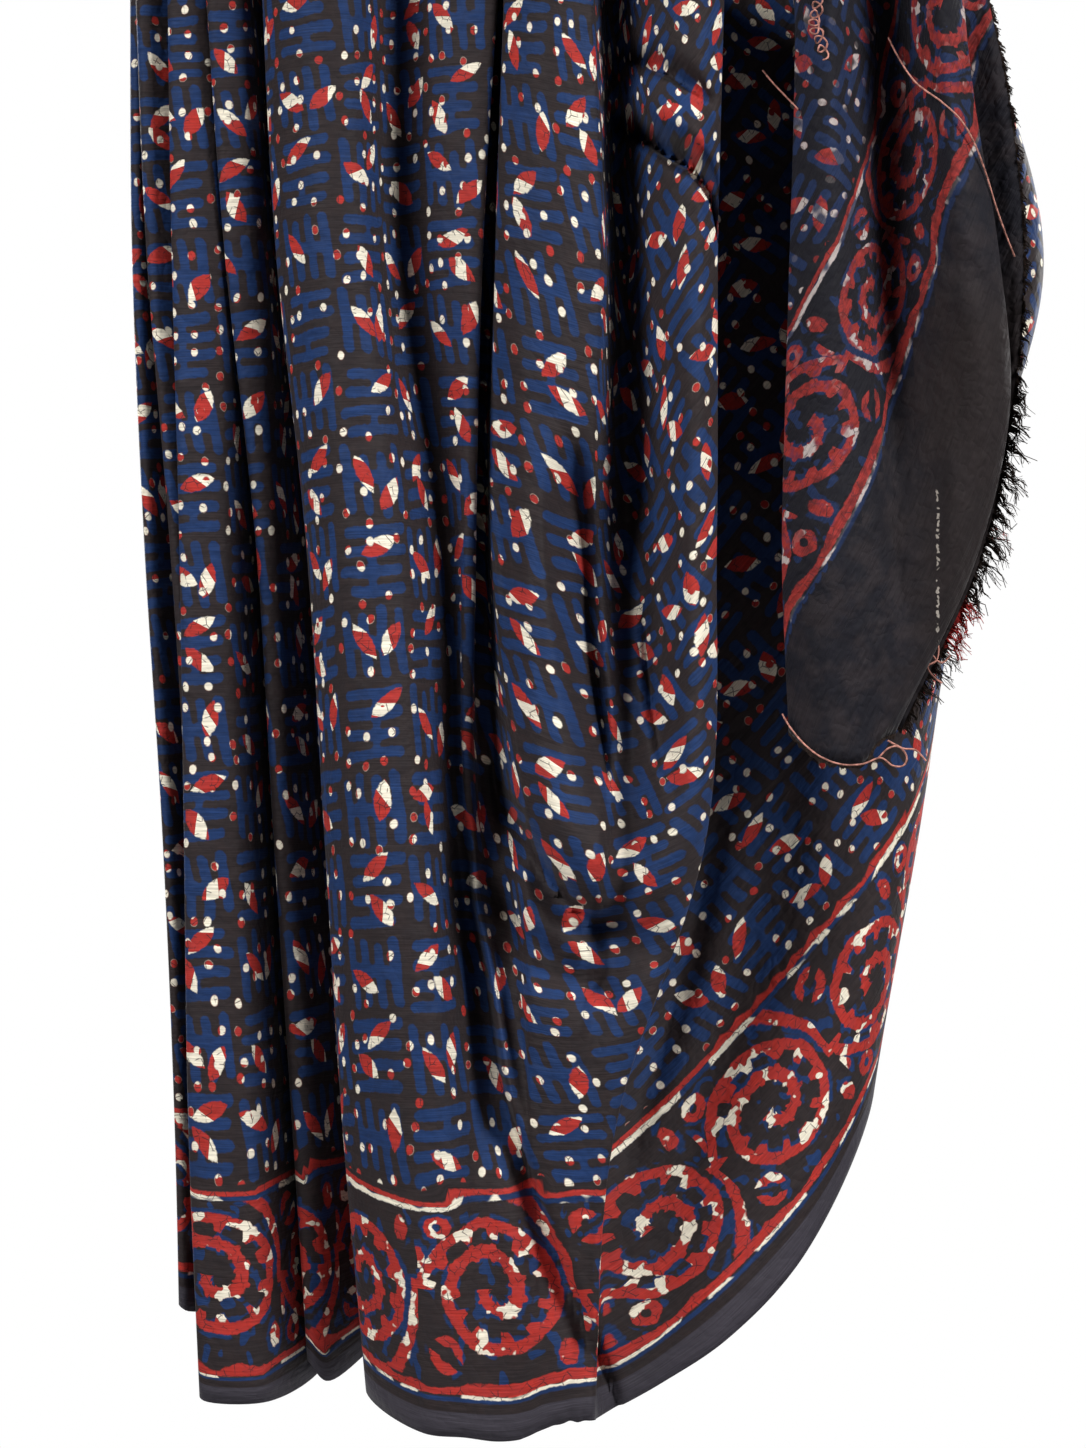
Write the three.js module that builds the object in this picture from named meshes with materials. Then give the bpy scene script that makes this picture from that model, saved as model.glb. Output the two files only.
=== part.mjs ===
// A mud-resist (dabu) printed length of light cloth that hangs from its top edge in pleats and a swag.
// Its printed face looks along -Y, and +Z is up. The origin lies on the top edge, so the cloth is below it.
// The loose end goes over the top of the back layer and hangs in front of it, reverse side out, and its
// raw edge is frayed. Units are millimetres.
import * as THREE from "three";

// Driving sizes
const CLOTH_THICKNESS = 1.5;
const LEVEL_STEP = 192;
const LOOSE_LEVEL_STEP = 100;
const ROLL_HEIGHT = 32;
const COMB_THICKNESS = 1.0;
const COMB_GAP = 0.5;
const COMB_ROOT = 2.5;
const TOOTH_LENGTH = 8;
const TEETH = 44;

// How the surfaces are divided: rows of facets down each stretch, the share of the way to the next line
// that half a bend may take, and the row of the loose end from which its threads show
const HANGING_ROWS = 16;
const LOOSE_ROWS = 12;
const ROLL_ROWS = 5;
const BEND_ROOM = 0.3;
const COMB_START = 0.4;

// The fold lines of the hanging cloth, from its left back edge to its right back edge. Each line has its
// x and y at six levels, LEVEL_STEP apart from the top edge down (one number where it never changes), the
// height at which its hem lies, the radius of its bend where it is a fold rather than a soft line, and the
// number of facets from it to the next line.
const HANGING_FOLDS = [
  { line: "left back edge", x: [-223, -223, -220, -216, -213, -210], y: 165, hem: -889, bend: 0, steps: 2 },
  { line: "first pleat edge", x: [-269, -268, -260, -248, -240, -236], y: 72, hem: -887, bend: 3, steps: 2 },
  {
    line: "first pleat inside", hem: -899, bend: 3, steps: 2,
    x: [-255, -247, -232, -220, -214, -210], y: [90, 92, 98, 104, 110, 110],
  },
  {
    line: "second pleat edge", hem: -902, bend: 3, steps: 2,
    x: [-266, -258, -243, -232, -228, -224], y: [62, 62, 66, 70, 74, 74],
  },
  {
    line: "second pleat inside", hem: -916, bend: 3, steps: 2,
    x: [-235, -230, -220, -211, -205, -200], y: [70, 70, 75, 80, 84, 84],
  },
  { line: "third pleat edge", x: [-244, -241, -236, -233, -230, -222], y: 52, hem: -943, bend: 3, steps: 2 },
  { line: "third pleat face", x: [-222, -212, -208, -200, -190, -182], y: 50, hem: -946, bend: 0, steps: 3 },
  {
    line: "third pleat inside", hem: -932, bend: 4, steps: 2,
    x: [-212, -199, -184, -174, -161, -146], y: [62, 68, 98, 102, 104, 104],
  },
  {
    line: "fourth pleat edge", hem: -924, bend: 3, steps: 2,
    x: [-219, -206, -187, -176, -164, -152], y: [40, 48, 70, 76, 80, 80],
  },
  {
    line: "fourth pleat face", hem: -937, bend: 0, steps: 3,
    x: [-198, -186, -176, -166, -152, -142], y: [44, 50, 70, 76, 80, 82],
  },
  {
    line: "deep gap", hem: -916, bend: 5, steps: 3,
    x: [-178, -165, -149, -133, -114, -97], y: [105, 110, 120, 130, 135, 130],
  },
  { line: "front panel side", x: [-184, -174, -154, -142, -130, -113], y: 48, hem: -939, bend: 0, steps: 3 },
  {
    line: "front panel crest", hem: -958, bend: 0, steps: 3,
    x: [-153, -142, -124, -109, -88, -76], y: [10, 8, 2, 0, 0, 4],
  },
  {
    line: "front panel shoulder", hem: -961, bend: 0, steps: 2,
    x: [-124, -117, -95, -79, -61, -50], y: [14, 12, 7, 4, 2, 5],
  },
  {
    line: "front panel trough", hem: -964, bend: 0, steps: 2,
    x: [-95, -92, -63, -57, -40, -30], y: [64, 64, 58, 50, 20, 8],
  },
  {
    line: "soft second crest", hem: -963, bend: 0, steps: 2,
    x: [-66, -64, -55, -51, -25, -16], y: [36, 36, 46, 47, 10, 8],
  },
  {
    line: "second crest edge", hem: -961, bend: 3, steps: 3,
    x: [-30, -42, -47, -47, -19, -10], y: [26, 28, 36, 44, 9, 9],
  },
  {
    line: "trough beside swag", hem: -958, bend: 4, steps: 3,
    x: [-29, -37, -43, -33, -11, -3], y: [62, 64, 68, 60, 14, 10],
  },
  {
    line: "swag left side", hem: -956, bend: 3, steps: 2,
    x: [-22, -28, -31, -10, -5, 2], y: [22, 22, 20, 13, 12, 10],
  },
  {
    line: "swag left crest", hem: -954, bend: 0, steps: 3,
    x: [2, 4, -2, 16, 5, 7], y: [2, 0, -2, -6, 9, 10],
  },
  {
    line: "swag left edge", hem: -953, bend: 2, steps: 3,
    x: [28, 36, 30, 35, 14, 12], y: [10, 10, 12, -4, 9, 10],
  },
  {
    line: "swag hollow", hem: -951, bend: 0, steps: 3,
    x: [42, 50, 55, 53, 23, 17], y: [72, 70, 70, 20, 9, 10],
  },
  {
    line: "swag middle", hem: -952, bend: 0, steps: 2,
    x: [70, 74, 82, 76, 30, 22], y: [20, 20, 20, 0, 9, 10],
  },
  {
    line: "swag right crest", hem: -951, bend: 0, steps: 2,
    x: [98, 97, 96, 92, 37, 26], y: [4, 0, -4, -6, 8, 10],
  },
  {
    line: "swag edge", hem: -951, bend: 3, steps: 3,
    x: [117, 112, 111, 104, 44, 31], y: [22, 18, 14, 8, 8, 10],
  },
  {
    line: "swag inside", hem: -952, bend: 4, steps: 3,
    x: [86, 86, 84, 78, 38, 37], y: [100, 98, 90, 88, 54, 30],
  },
  {
    line: "back layer start", hem: -934, bend: 0, steps: 6,
    x: [168, 168, 164, 147, 101, 74], y: [112, 108, 104, 106, 82, 50],
  },
  {
    line: "back layer middle", hem: -905, bend: 0, steps: 6,
    x: [212, 230, 215, 190, 147, 111], y: [108, 104, 94, 90, 70, 50],
  },
  {
    line: "back layer shoulder", hem: -852, bend: 0, steps: 5,
    x: [255, 299, 256, 225, 185, 151], y: [112, 110, 98, 80, 60, 50],
  },
  {
    line: "back layer turn", hem: -757, bend: 0, steps: 3,
    x: [285, 336, 279, 250, 216, 196], y: [140, 140, 125, 110, 95, 90],
  },
  {
    line: "back layer side", hem: -695, bend: 0, steps: 3,
    x: [286, 334, 287, 247, 209, 188], y: [195, 195, 185, 175, 165, 160],
  },
  {
    line: "right back edge", hem: -612, bend: 0, steps: 0,
    x: [264, 296, 262, 228, 193, 171], y: [250, 250, 240, 235, 225, 220],
  },
];

// The fold lines of the loose end, read the same way, LOOSE_LEVEL_STEP apart. It has as many facets
// across as the back layer has between ROLL_FROM and ROLL_TO, because the two meet over the top.
const LOOSE_FOLDS = [
  {
    line: "left edge turned in", hem: -504, bend: 0, steps: 1,
    x: [158, 170, 169, 166, 163, 167], y: [36, 36, 34, 34, 34, 36],
  },
  {
    line: "left edge", hem: -508, bend: 3, steps: 2,
    x: [165, 163, 160, 157, 155, 159], y: [26, 20, 18, 18, 18, 22],
  },
  {
    line: "front roll", hem: -526, bend: 0, steps: 2,
    x: [181, 183, 184, 182, 182, 181], y: [2, 0, -2, -4, -6, -2],
  },
  {
    line: "front roll side", hem: -529, bend: 0, steps: 1,
    x: [199, 203, 207, 212, 216, 203], y: [26, 26, 22, 14, 2, 0],
  },
  {
    line: "trough", hem: -527, bend: 0, steps: 1,
    x: [222, 228, 226, 228, 233, 211], y: [64, 64, 56, 38, 12, 4],
  },
  {
    line: "slanting roll side", hem: -518, bend: 0, steps: 2,
    x: [241, 249, 251, 256, 248, 217], y: [22, 22, 18, 14, 6, 4],
  },
  {
    line: "slanting roll", hem: -512, bend: 0, steps: 2,
    x: [253, 259, 270, 281, 264, 223], y: [2, 0, -2, 0, 3, 5],
  },
  {
    line: "right fold", hem: -508, bend: 3, steps: 2,
    x: [266, 277, 293, 300, 277, 230], y: [16, 18, 18, 18, 16, 14],
  },
  {
    line: "right fold inside", hem: -502, bend: 3, steps: 1,
    x: [274, 270, 283, 292, 268, 222], y: [32, 46, 46, 40, 32, 26],
  },
  {
    line: "raw edge", hem: -506, bend: 0, steps: 0,
    x: [283, 303, 312, 304, 282, 235], y: [46, 40, 38, 34, 30, 26],
  },
];
const ROLL_FROM = "back layer start";
const ROLL_TO = "back layer turn";

// A value between levels, on a smooth curve through the row's values, run on past the last level.
function alongLine(values, level) {
  if (typeof values === "number") return values;
  const last = values.length - 1;
  const start = Math.min(Math.floor(level), last - 1);
  const u = level - start;
  const at = (k) => {
    if (k < 0) return 2 * values[0] - values[1];
    if (k > last) return 2 * values[last] - values[last - 1];
    return values[k];
  };
  const [a, b, c, d] = [at(start - 1), at(start), at(start + 1), at(start + 2)];
  const square = (2 * a - 5 * b + 4 * c - d) * u ** 2;
  const cube = (3 * b - a - 3 * c + d) * u ** 3;
  return 0.5 * (2 * b + (c - a) * u + square + cube);
}

// The points that the cloth passes through on its way across. A fold gives two, one on each side of its
// bend, no farther apart than its neighbours leave room for.
function bendPoints(folds, places) {
  const knots = [];
  places.forEach((place, index) => {
    const { bend, steps } = folds[index];
    if (bend === 0) {
      knots.push({ point: place, steps });
      return;
    }
    const toLast = places[index - 1].clone().sub(place);
    const toNext = places[index + 1].clone().sub(place);
    const radius = Math.min(bend, BEND_ROOM * toLast.length(), BEND_ROOM * toNext.length());
    const along = toNext.normalize().sub(toLast.normalize()).normalize().multiplyScalar(radius);
    knots.push({ point: place.clone().sub(along), steps: 1 });
    knots.push({ point: place.clone().add(along), steps });
  });
  return knots;
}

// One line across the cloth: a centripetal curve through the fold lines, "part" of the way to the hem.
function crossLine(folds, levelStep, part) {
  const places = folds.map((fold) => {
    const z = fold.hem * part;
    const level = -z / levelStep;
    return new THREE.Vector3(alongLine(fold.x, level), alongLine(fold.y, level), z);
  });
  const knots = bendPoints(folds, places);
  const curve = new THREE.CatmullRomCurve3(knots.map((knot) => knot.point), false, "centripetal");
  const points = [];
  knots.forEach(({ steps }, index) => {
    for (let step = 0; step < steps; step += 1) {
      points.push(curve.getPoint((index + step / steps) / (knots.length - 1)));
    }
  });
  points.push(knots[knots.length - 1].point);
  return points;
}

// A net of points joined by four-sided patches. Nets that share point numbers are one cloth.
class Net {
  constructor() {
    this.points = [];
    this.patches = [];
  }

  addRow(points) {
    const first = this.points.length;
    this.points.push(...points);
    return points.map((_, index) => first + index);
  }

  // Joins an upper and a lower row of point numbers, so that the patches face -Y where the rows run to +X.
  join(upper, lower) {
    for (let i = 0; i + 1 < upper.length; i += 1) {
      this.patches.push([upper[i], lower[i], lower[i + 1], upper[i + 1]]);
    }
  }

  normals() {
    const sums = this.points.map(() => new THREE.Vector3());
    for (const [a, b, c, d] of this.patches) {
      const across = this.points[c].clone().sub(this.points[a]);
      const normal = across.cross(this.points[d].clone().sub(this.points[b]));
      for (const corner of [a, b, c, d]) sums[corner].add(normal);
    }
    return sums.map((sum) => sum.normalize());
  }

  // A closed solid of even thickness about the net, with walls along its free edges.
  thicken(thickness) {
    const normals = this.normals();
    const count = this.points.length;
    const positions = [];
    for (const side of [0.5, -0.5]) {
      this.points.forEach((point, index) => {
        positions.push(...point.clone().addScaledVector(normals[index], side * thickness).toArray());
      });
    }
    const faces = [];
    const edges = new Map();
    for (const [a, b, c, d] of this.patches) {
      faces.push(a, b, c, a, c, d);
      faces.push(count + a, count + c, count + b, count + a, count + d, count + c);
      for (const [from, to] of [[a, b], [b, c], [c, d], [d, a]]) edges.set(`${from} ${to}`, [from, to]);
    }
    for (const [from, to] of edges.values()) {
      if (edges.has(`${to} ${from}`)) continue;
      faces.push(from, count + from, count + to, from, count + to, to);
    }
    const geometry = new THREE.BufferGeometry();
    geometry.setAttribute("position", new THREE.Float32BufferAttribute(positions, 3));
    geometry.setIndex(faces);
    geometry.computeVertexNormals();
    return geometry;
  }
}

// The column of the hanging cloth at which a named fold line lies.
function columnOf(name) {
  let column = 0;
  for (const fold of HANGING_FOLDS) {
    if (fold.line === name) return column;
    column += fold.steps + (fold.bend > 0 ? 1 : 0);
  }
  throw new Error(`no fold line ${name}`);
}

// The half-round roll that carries the loose end over the top, from the back layer to the front.
function rollRow(back, front, part) {
  const angle = part * Math.PI;
  return back.map((start, index) => {
    const middle = start.clone().add(front[index]).multiplyScalar(0.5);
    const point = middle.clone().lerp(start, Math.cos(angle));
    point.z += ROLL_HEIGHT * Math.sin(angle);
    return point;
  });
}

function makeCloth() {
  const net = new Net();
  let upper = null;
  let topRow = null;
  for (let row = 0; row <= HANGING_ROWS; row += 1) {
    const numbers = net.addRow(crossLine(HANGING_FOLDS, LEVEL_STEP, row / HANGING_ROWS));
    if (upper) net.join(upper, numbers);
    else topRow = numbers;
    upper = numbers;
  }
  let lower = topRow.slice(columnOf(ROLL_FROM), columnOf(ROLL_TO) + 1);
  const back = lower.map((number) => net.points[number]);
  const front = crossLine(LOOSE_FOLDS, LOOSE_LEVEL_STEP, 0);
  for (let row = 1; row <= ROLL_ROWS; row += 1) {
    const numbers = net.addRow(rollRow(back, front, row / ROLL_ROWS));
    net.join(numbers, lower);
    lower = numbers;
  }
  const rawEdge = [net.points[lower[lower.length - 1]]];
  const inside = [net.points[lower[lower.length - 2]]];
  for (let row = 1; row <= LOOSE_ROWS; row += 1) {
    const numbers = net.addRow(crossLine(LOOSE_FOLDS, LOOSE_LEVEL_STEP, row / LOOSE_ROWS));
    net.join(numbers, lower);
    lower = numbers;
    rawEdge.push(net.points[numbers[numbers.length - 1]]);
    inside.push(net.points[numbers[numbers.length - 2]]);
  }
  return { geometry: net.thicken(CLOTH_THICKNESS), rawEdge, inside };
}

// A comb of teeth along the raw edge, which points away from the cloth.
function makeComb(rawEdge, inside) {
  const roots = [];
  const tips = [];
  const valleys = [];
  const stations = 2 * TEETH;
  for (let i = 0; i <= stations; i += 1) {
    const place = COMB_START + (i / stations) * (rawEdge.length - 1 - COMB_START);
    const start = Math.min(Math.floor(place), rawEdge.length - 2);
    const along = place - start;
    const edge = rawEdge[start].clone().lerp(rawEdge[start + 1], along);
    const inner = inside[start].clone().lerp(inside[start + 1], along);
    const outward = edge.clone().sub(inner).normalize();
    roots.push(edge.clone().addScaledVector(outward, COMB_GAP));
    valleys.push(edge.clone().addScaledVector(outward, COMB_GAP + COMB_ROOT));
    tips.push(edge.clone().addScaledVector(outward, COMB_GAP + COMB_ROOT + TOOTH_LENGTH));
  }
  const net = new Net();
  const outline = valleys.map((valley, i) => (i % 2 === 1 ? tips[i] : valley));
  const rootRow = net.addRow(roots);
  const outerRow = net.addRow(outline);
  net.join(outerRow, rootRow);
  return net.thicken(COMB_THICKNESS);
}

function makeMesh(name, geometry, color, roughness) {
  const material = new THREE.MeshStandardMaterial({ color, roughness, metalness: 0 });
  const mesh = new THREE.Mesh(geometry, material);
  mesh.name = name;
  return mesh;
}

const cloth = makeCloth();
const group = new THREE.Group();
group.add(makeMesh("cloth", cloth.geometry, "#2b2a36", 0.6));
group.add(makeMesh("frayed_edge", makeComb(cloth.rawEdge, cloth.inside), "#2a1f1d", 0.9));

export default group;
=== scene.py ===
"""A length of dabu (mud-resist) printed cloth that hangs from its top edge in pleats and a swag.

The cloth is one sheet. Its printed face looks along -Y, with knife pleats at the left, a front panel, a
swag, a back layer that wraps round the right side, and a loose end that goes over the top and hangs in
front of the back layer, reverse side out. The raw edge of the loose end is frayed.

Lengths are millimetres and angles are degrees where no other unit is named. The scene itself is in metres,
in the frame of the part: the origin is level with the top edge, +Z is up and +X is to the right.
"""

from __future__ import annotations

import logging
import math
from dataclasses import dataclass, field
from enum import Enum
from typing import Callable, Sequence

import bpy
import numpy as np
from bpy.types import Material, Mesh, Node, NodeSocket, NodeTree, Object
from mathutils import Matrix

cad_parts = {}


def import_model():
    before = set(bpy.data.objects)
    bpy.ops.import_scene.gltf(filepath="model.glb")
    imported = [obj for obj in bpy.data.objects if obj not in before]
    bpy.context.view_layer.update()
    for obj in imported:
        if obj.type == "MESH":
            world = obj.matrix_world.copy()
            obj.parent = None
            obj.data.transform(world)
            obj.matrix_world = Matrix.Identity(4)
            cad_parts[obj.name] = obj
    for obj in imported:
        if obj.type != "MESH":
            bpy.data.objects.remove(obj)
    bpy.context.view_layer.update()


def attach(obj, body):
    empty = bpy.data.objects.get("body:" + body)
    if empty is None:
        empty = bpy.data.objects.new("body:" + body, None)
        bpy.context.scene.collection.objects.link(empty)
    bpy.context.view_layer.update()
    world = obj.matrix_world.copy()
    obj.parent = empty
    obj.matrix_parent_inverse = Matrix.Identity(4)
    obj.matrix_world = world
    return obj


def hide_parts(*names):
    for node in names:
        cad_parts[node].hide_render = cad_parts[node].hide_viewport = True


LOG = logging.getLogger("dabu_cloth")
MM = 0.001
FLAT_MAP = "flat"
Array = np.ndarray
Pair = tuple[float, float]
Place = tuple[float, float, float]
Colour = tuple[float, float, float, float]


# ===== The folds of the cloth =====


@dataclass(frozen=True)
class Fold:
    """One fold line of the cloth, read at levels a fixed step apart from the top edge down.

    A value that never changes down the line is one number instead of a row of them.
    """

    line: str
    x: float | tuple[float, ...]  # Its places across the cloth's front.
    y: float | tuple[float, ...]  # Its depths.
    hem: float  # The height of the hem where the line meets it.
    bend: float  # The radius of its bend, or 0 for a soft line.
    steps: int  # The number of divisions from it to the next line.
    grain: float | tuple[float, ...] = 0.0  # The slope of the weft along the line from level.
    seen: float = 1.0  # How much the print on this line counts when the flat cloth is laid out.
    # The height at which the border's upper line crosses it, or None where that is hidden.
    border: float | None = None
    # How high the border's lower line is above the hem, or None where that is left free.
    strip: float | None = None


# The rows of numbers are read at levels this far apart, from the top edge down.
LEVEL_STEP = 192.0
LOOSE_LEVEL_STEP = 100.0
LAST_LEVEL = 5.0
# A bend takes up at most this share of the way to the next fold line.
BEND_ROOM = 0.3
# The cloth goes over the top between these two fold lines, and this high.
ROLL_FROM = "back layer start"
ROLL_TO = "back layer turn"
ROLL_HEIGHT = 32.0
# How finely the spacing of the rows is worked out.
SPACING_STEPS = 400

HANGING_FOLDS = (
    Fold("left back edge", (-223, -223, -220, -216, -213, -210), 165, -889, 0, 2, seen=0.1),
    Fold("first pleat edge", (-269, -268, -260, -248, -240, -236), 72, -887, 3, 2, seen=0.8),
    Fold("first pleat inside", (-255, -247, -232, -220, -214, -210), (90, 92, 98, 104, 110, 110), -899, 3, 2,
         seen=0.1),
    Fold("second pleat edge", (-266, -258, -243, -232, -228, -224), (62, 62, 66, 70, 74, 74), -902, 3, 2),
    Fold("second pleat inside", (-235, -230, -220, -211, -205, -200), (70, 70, 75, 80, 84, 84), -916, 3, 2,
         seen=0.1),
    Fold("third pleat edge", (-244, -241, -236, -233, -230, -222), 52, -943, 3, 2, border=-806, strip=19),
    Fold("third pleat face", (-222, -212, -208, -200, -190, -182), 50, -946, 0, 3, border=-812, strip=20),
    Fold("third pleat inside", (-212, -199, -184, -174, -161, -146), (62, 68, 98, 102, 104, 104), -932, 4, 2,
         seen=0.1),
    Fold("fourth pleat edge", (-219, -206, -187, -176, -164, -152), (40, 48, 70, 76, 80, 80), -924, 3, 2,
         border=-800, strip=19),
    Fold("fourth pleat face", (-198, -186, -176, -166, -152, -142), (44, 50, 70, 76, 80, 82), -937, 0, 3,
         border=-789, strip=22),
    Fold("deep gap", (-178, -165, -149, -133, -114, -97), (105, 110, 120, 130, 135, 130), -916, 5, 3,
         seen=0.05),
    Fold("front panel side", (-184, -174, -154, -142, -130, -113), 48, -939, 0, 3, border=-790, strip=28),
    Fold("front panel crest", (-153, -142, -124, -109, -88, -76), (10, 8, 2, 0, 0, 4), -958, 0, 3,
         border=-807, strip=31),
    Fold("front panel shoulder", (-124, -117, -95, -79, -61, -50), (14, 12, 7, 4, 2, 5), -961, 0, 2,
         grain=(0, -2, -3, -3, 0, 0), border=-805, strip=31),
    Fold("front panel trough", (-95, -92, -63, -57, -40, -30), (64, 64, 58, 50, 20, 8), -964, 0, 2,
         grain=(0, -3, -5, -6, -2, 0), border=-803, strip=31),
    Fold("soft second crest", (-66, -64, -55, -51, -25, -16), (36, 36, 46, 47, 10, 8), -963, 0, 2,
         grain=(-4, -6, -8, -10, -4, 0), border=-801, strip=31),
    Fold("second crest edge", (-30, -42, -47, -47, -19, -10), (26, 28, 36, 44, 9, 9), -961, 3, 3,
         grain=(-6, -8, -12, -14, -5, 0), border=-800, strip=31),
    Fold("trough beside swag", (-29, -37, -43, -33, -11, -3), (62, 64, 68, 60, 14, 10), -958, 4, 3,
         grain=(-12, -15, -18, -18, -8, 0), seen=0.4, border=-800, strip=31),
    Fold("swag left side", (-22, -28, -31, -10, -5, 2), (22, 22, 20, 13, 12, 10), -956, 3, 2,
         grain=(-15, -18, -19, -18, -6, 0), seen=0.7, border=-800, strip=32),
    Fold("swag left crest", (2, 4, -2, 16, 5, 7), (2, 0, -2, -6, 9, 10), -954, 0, 3,
         grain=(-18, -20, -20, -16, -4, 0), border=-801, strip=32),
    Fold("swag left edge", (28, 36, 30, 35, 14, 12), (10, 10, 12, -4, 9, 10), -953, 2, 3,
         grain=(-8, -10, -10, -6, 0, 0), border=-801, strip=32),
    Fold("swag hollow", (42, 50, 55, 53, 23, 17), (72, 70, 70, 20, 9, 10), -951, 0, 3,
         grain=(5, 10, 12, 8, 0, 0), seen=0.3, border=-802, strip=33),
    Fold("swag middle", (70, 74, 82, 76, 30, 22), (20, 20, 20, 0, 9, 10), -952, 0, 2,
         grain=(42, 42, 42, 26, 0, 0)),
    Fold("swag right crest", (98, 97, 96, 92, 37, 26), (4, 0, -4, -6, 8, 10), -951, 0, 2,
         grain=(57, 57, 55, 38, 0, 0)),
    Fold("swag edge", (117, 112, 111, 104, 44, 31), (22, 18, 14, 8, 8, 10), -951, 3, 3,
         grain=(57, 57, 55, 42, 5, 0)),
    Fold("swag inside", (86, 86, 84, 78, 38, 37), (100, 98, 90, 88, 54, 30), -952, 4, 3,
         grain=(54, 54, 53, 47, 25, 10), seen=0.05),
    Fold("back layer start", (168, 168, 164, 147, 101, 74), (112, 108, 104, 106, 82, 50), -934, 0, 6,
         grain=(51, 51, 51, 51, 48, 36), border=-716),
    Fold("back layer middle", (212, 230, 215, 190, 147, 111), (108, 104, 94, 90, 70, 50), -905, 0, 6,
         grain=(51, 51, 51, 51, 51, 45), border=-644),
    Fold("back layer shoulder", (255, 299, 256, 225, 185, 151), (112, 110, 98, 80, 60, 50), -852, 0, 5,
         grain=51, seen=0.8, border=-586),
    Fold("back layer turn", (285, 336, 279, 250, 216, 196), (140, 140, 125, 110, 95, 90), -757, 0, 3,
         grain=52, seen=0.3, border=-531),
    Fold("back layer side", (286, 334, 287, 247, 209, 188), (195, 195, 185, 175, 165, 160), -695, 0, 3,
         grain=52, seen=0.1),
    Fold("right back edge", (264, 296, 262, 228, 193, 171), (250, 250, 240, 235, 225, 220), -612, 0, 0,
         grain=52, seen=0.1),
)

LOOSE_FOLDS = (
    Fold("left edge turned in", (158, 170, 169, 166, 163, 167), (36, 36, 34, 34, 34, 36), -504, 0, 1),
    Fold("left edge", (165, 163, 160, 157, 155, 159), (26, 20, 18, 18, 18, 22), -508, 3, 2),
    Fold("front roll", (181, 183, 184, 182, 182, 181), (2, 0, -2, -4, -6, -2), -526, 0, 2),
    Fold("front roll side", (199, 203, 207, 212, 216, 203), (26, 26, 22, 14, 2, 0), -529, 0, 1),
    Fold("trough", (222, 228, 226, 228, 233, 211), (64, 64, 56, 38, 12, 4), -527, 0, 1),
    Fold("slanting roll side", (241, 249, 251, 256, 248, 217), (22, 22, 18, 14, 6, 4), -518, 0, 2),
    Fold("slanting roll", (253, 259, 270, 281, 264, 223), (2, 0, -2, 0, 3, 5), -512, 0, 2),
    Fold("right fold", (266, 277, 293, 300, 277, 230), (16, 18, 18, 18, 16, 14), -508, 3, 2),
    Fold("right fold inside", (274, 270, 283, 292, 268, 222), (32, 46, 46, 40, 32, 26), -502, 3, 1),
    Fold("raw edge", (283, 303, 312, 304, 282, 235), (46, 40, 38, 34, 30, 26), -506, 0, 0),
)


def along_line(values: float | Sequence[float], level: Array) -> Array:
    """Reads a fold line's values between its levels.

    Args:
        values: One number, or one for each level.
        level: The levels to read at, counted from the top edge.

    Returns:
        The values, on a smooth curve through the row that runs on past the last level.
    """
    if isinstance(values, (int, float)):
        return np.full(level.shape, float(values))
    row = np.array([2 * values[0] - values[1], *values, 2 * values[-1] - values[-2]], float)
    start = np.clip(np.floor(level).astype(int), 0, len(values) - 2)
    u = level - start
    a, b, c, d = (row[start + k] for k in range(4))
    square = (2 * a - 5 * b + 4 * c - d) * u**2
    cube = (3 * b - a - 3 * c + d) * u**3
    return 0.5 * (2 * b + (c - a) * u + square + cube)


def unit(vectors: Array) -> Array:
    """Returns the vectors at length one."""
    return vectors / np.maximum(np.linalg.norm(vectors, axis=-1, keepdims=True), 1e-12)


def smooth_curve(before: Array, start: Array, end: Array, after: Array, u: float) -> Array:
    """Finds the points part of the way from start to end on centripetal curves.

    Args:
        before: The points that come before the start.
        start: The points at u 0.
        end: The points at u 1.
        after: The points that come after the end.
        u: How far along, from 0 to 1.

    Returns:
        One point for each row.
    """

    def gap(a: Array, b: Array) -> Array:
        """Returns the curve's parameter step between two rows of points."""
        return np.maximum(np.linalg.norm(b - a, axis=-1, keepdims=True), 1e-6) ** 0.5

    t1 = gap(before, start)
    t2 = t1 + gap(start, end)
    t3 = t2 + gap(end, after)
    t = t1 + (t2 - t1) * u
    a1 = (t1 - t) / t1 * before + t / t1 * start
    a2 = (t2 - t) / (t2 - t1) * start + (t - t1) / (t2 - t1) * end
    a3 = (t3 - t) / (t3 - t2) * end + (t - t2) / (t3 - t2) * after
    b1 = (t2 - t) / t2 * a1 + t / t2 * a2
    b2 = (t3 - t) / (t3 - t1) * a2 + (t - t1) / (t3 - t1) * a3
    return (t2 - t) / (t2 - t1) * b1 + (t - t1) / (t2 - t1) * b2


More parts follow.
